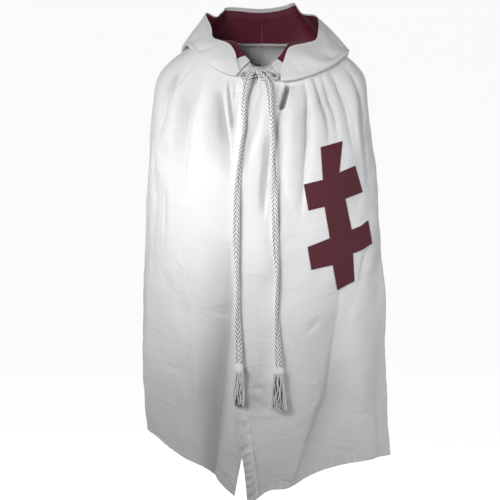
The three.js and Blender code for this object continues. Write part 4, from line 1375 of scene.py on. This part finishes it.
def makeSewing():
    values = {
        "Pitch": sewing["pitch"] * mm, "Length": sewing["length"] * mm,
        "Thickness": sewing["thickness"] * mm,
    }
    white = [
        frontLine("left"), frontLine("right"), hemStitchLine("left", -89, 4), hemStitchLine("right", 17, 89),
        hemStitchLine("back", 91, 269), rimLine(),
    ]
    piece = runTree(
        "white_sewing", stitches, lineMesh("white_sewing", white), {**values, "Material": whiteThread},
    )
    setPiece(piece, [])
    lines = lineMesh("wine_sewing", [crossStitchLine()], closed=True)
    piece = runTree("wine_sewing", stitches, lines, {**values, "Material": wineThread})
    setPiece(piece, [])


makeSewing()
print("sewing made")


# ---- each panel's flat size and how it is held, which nothing here uses ----
cuts = {
    "left": {"flat": (0.70, 1.13), "held": "gathered"},
    "right": {"flat": (0.62, 1.11), "held": "gathered"},
    "back": {"flat": (1.12, 1.08), "held": "gathered"},
}
for panel, cut in cuts.items():
    piece, area = panels[panel]


# ---- floor, light ----
studio = {
    "floorHeight": -1.5, "floorRadius": 6.5, "rimRadius": 10, "rimHeight": 7.0,
    "floorColour": (0.9, 0.9, 0.9), "floorGlow": 0.87, "sky": 0.06, "spotBlend": 0.85, "floorPoints": 96,
}


def makeFloor():
    # a pale floor that curves up all round, far outside the camera's ring
    rise = np.linspace(0, math.pi / 2, 13)[:, None]
    radius = studio["floorRadius"] + (studio["rimRadius"] - studio["floorRadius"]) * np.sin(rise)
    height = studio["rimHeight"] * (1 - np.cos(rise)) + studio["floorHeight"]
    angle = np.linspace(0, 2 * math.pi, studio["floorPoints"], endpoint=False)
    points = np.stack([radius * np.cos(angle), radius * np.sin(angle), height + 0 * angle], -1).reshape(-1, 3)
    index, faces = ringFaces(len(rise), len(angle))
    faces.append(index[0].tolist())
    mesh = bpy.data.meshes.new("floor")
    mesh.from_pydata(points.tolist(), [], faces)
    mesh.shade_smooth()
    material, nodes, surface = startMaterial("floorPaint", {
        "Roughness": 0.9, "Emission Strength": studio["floorGlow"], "Emission Color": (1, 1, 1, 1),
    })
    place = nodes.add("ShaderNodeTexCoord").other("Object")
    clouds = nodes.add("ShaderNodeTexNoise", None, {"Vector": place, "Scale": 0.6})
    pale = tuple(studio["floorColour"])
    shade = nodes.add("ShaderNodeMix", {"data_type": "RGBA"}, {
        0: clouds, 6: (*(0.97 * part for part in pale), 1), 7: (*pale, 1),
    }, 2)
    link(nodes, shade, surface.inputs["Base Color"])
    mesh.materials.append(material)
    floor = addObject("floor", mesh)
    floor.visible_diffuse = False
    floor.visible_shadow = False


# a light with a cone is a spot, and the others are round areas
lights = {
    "key": {
        "at": (-0.62, -1.75, 0.05), "aim": (-0.04, -0.15, -0.36), "size": 0.3, "power": 66, "cone": 37,
        "tint": (1, 0.995, 0.98),
    },
    "upper": {"at": (-1.15, -1.4, 0.3), "aim": (-0.1, -0.12, -0.25), "size": 0.3, "power": 55, "cone": 32},
    "front": {"at": (-1.3, -2.8, 0.4), "aim": (0, 0, -0.6), "size": 0.6, "power": 19},
    "sideRight": {"at": (-2.4, -1.1, -0.5), "aim": (0, 0, -0.6), "size": 1.8, "power": 9},
    "sideLeft": {
        "at": (2.4, -1.1, -0.5), "aim": (0, 0, -0.6), "size": 1.8, "power": 27, "tint": (0.97, 0.985, 1),
    },
    "rear": {"at": (0.4, 2.4, 0.8), "aim": (0, 0, -0.4), "size": 1.8, "power": 48},
}


def makeLights():
    for name, light in lights.items():
        spot = "cone" in light
        data = bpy.data.lights.new(name, "SPOT" if spot else "AREA")
        if spot:
            data.shadow_soft_size = light["size"]
            data.spot_size = math.radians(light["cone"])
            data.spot_blend = studio["spotBlend"]
        else:
            data.shape = "DISK"
            data.size = light["size"]
        data.energy = light["power"]
        data.color = light.get("tint", (1, 1, 1))
        lamp = bpy.data.objects.new(name, data)
        way = unit(np.array(light["aim"]) - np.array(light["at"]))
        lamp.location = light["at"]
        lamp.rotation_euler = (math.acos(-way[2]), 0, math.atan2(way[1], way[0]) - math.pi / 2)
        lamp.visible_camera = False
        bpy.context.scene.collection.objects.link(lamp)
    world = bpy.data.worlds.new("sky")
    world.use_nodes = True
    sky = world.node_tree.nodes["Background"].inputs
    sky["Color"].default_value = (1, 1, 1, 1)
    sky["Strength"].default_value = studio["sky"]
    bpy.context.scene.world = world


makeFloor()
makeLights()
bpy.context.scene.view_settings.view_transform = "Standard"
bpy.context.scene.view_settings.look = "None"
print("studio made")
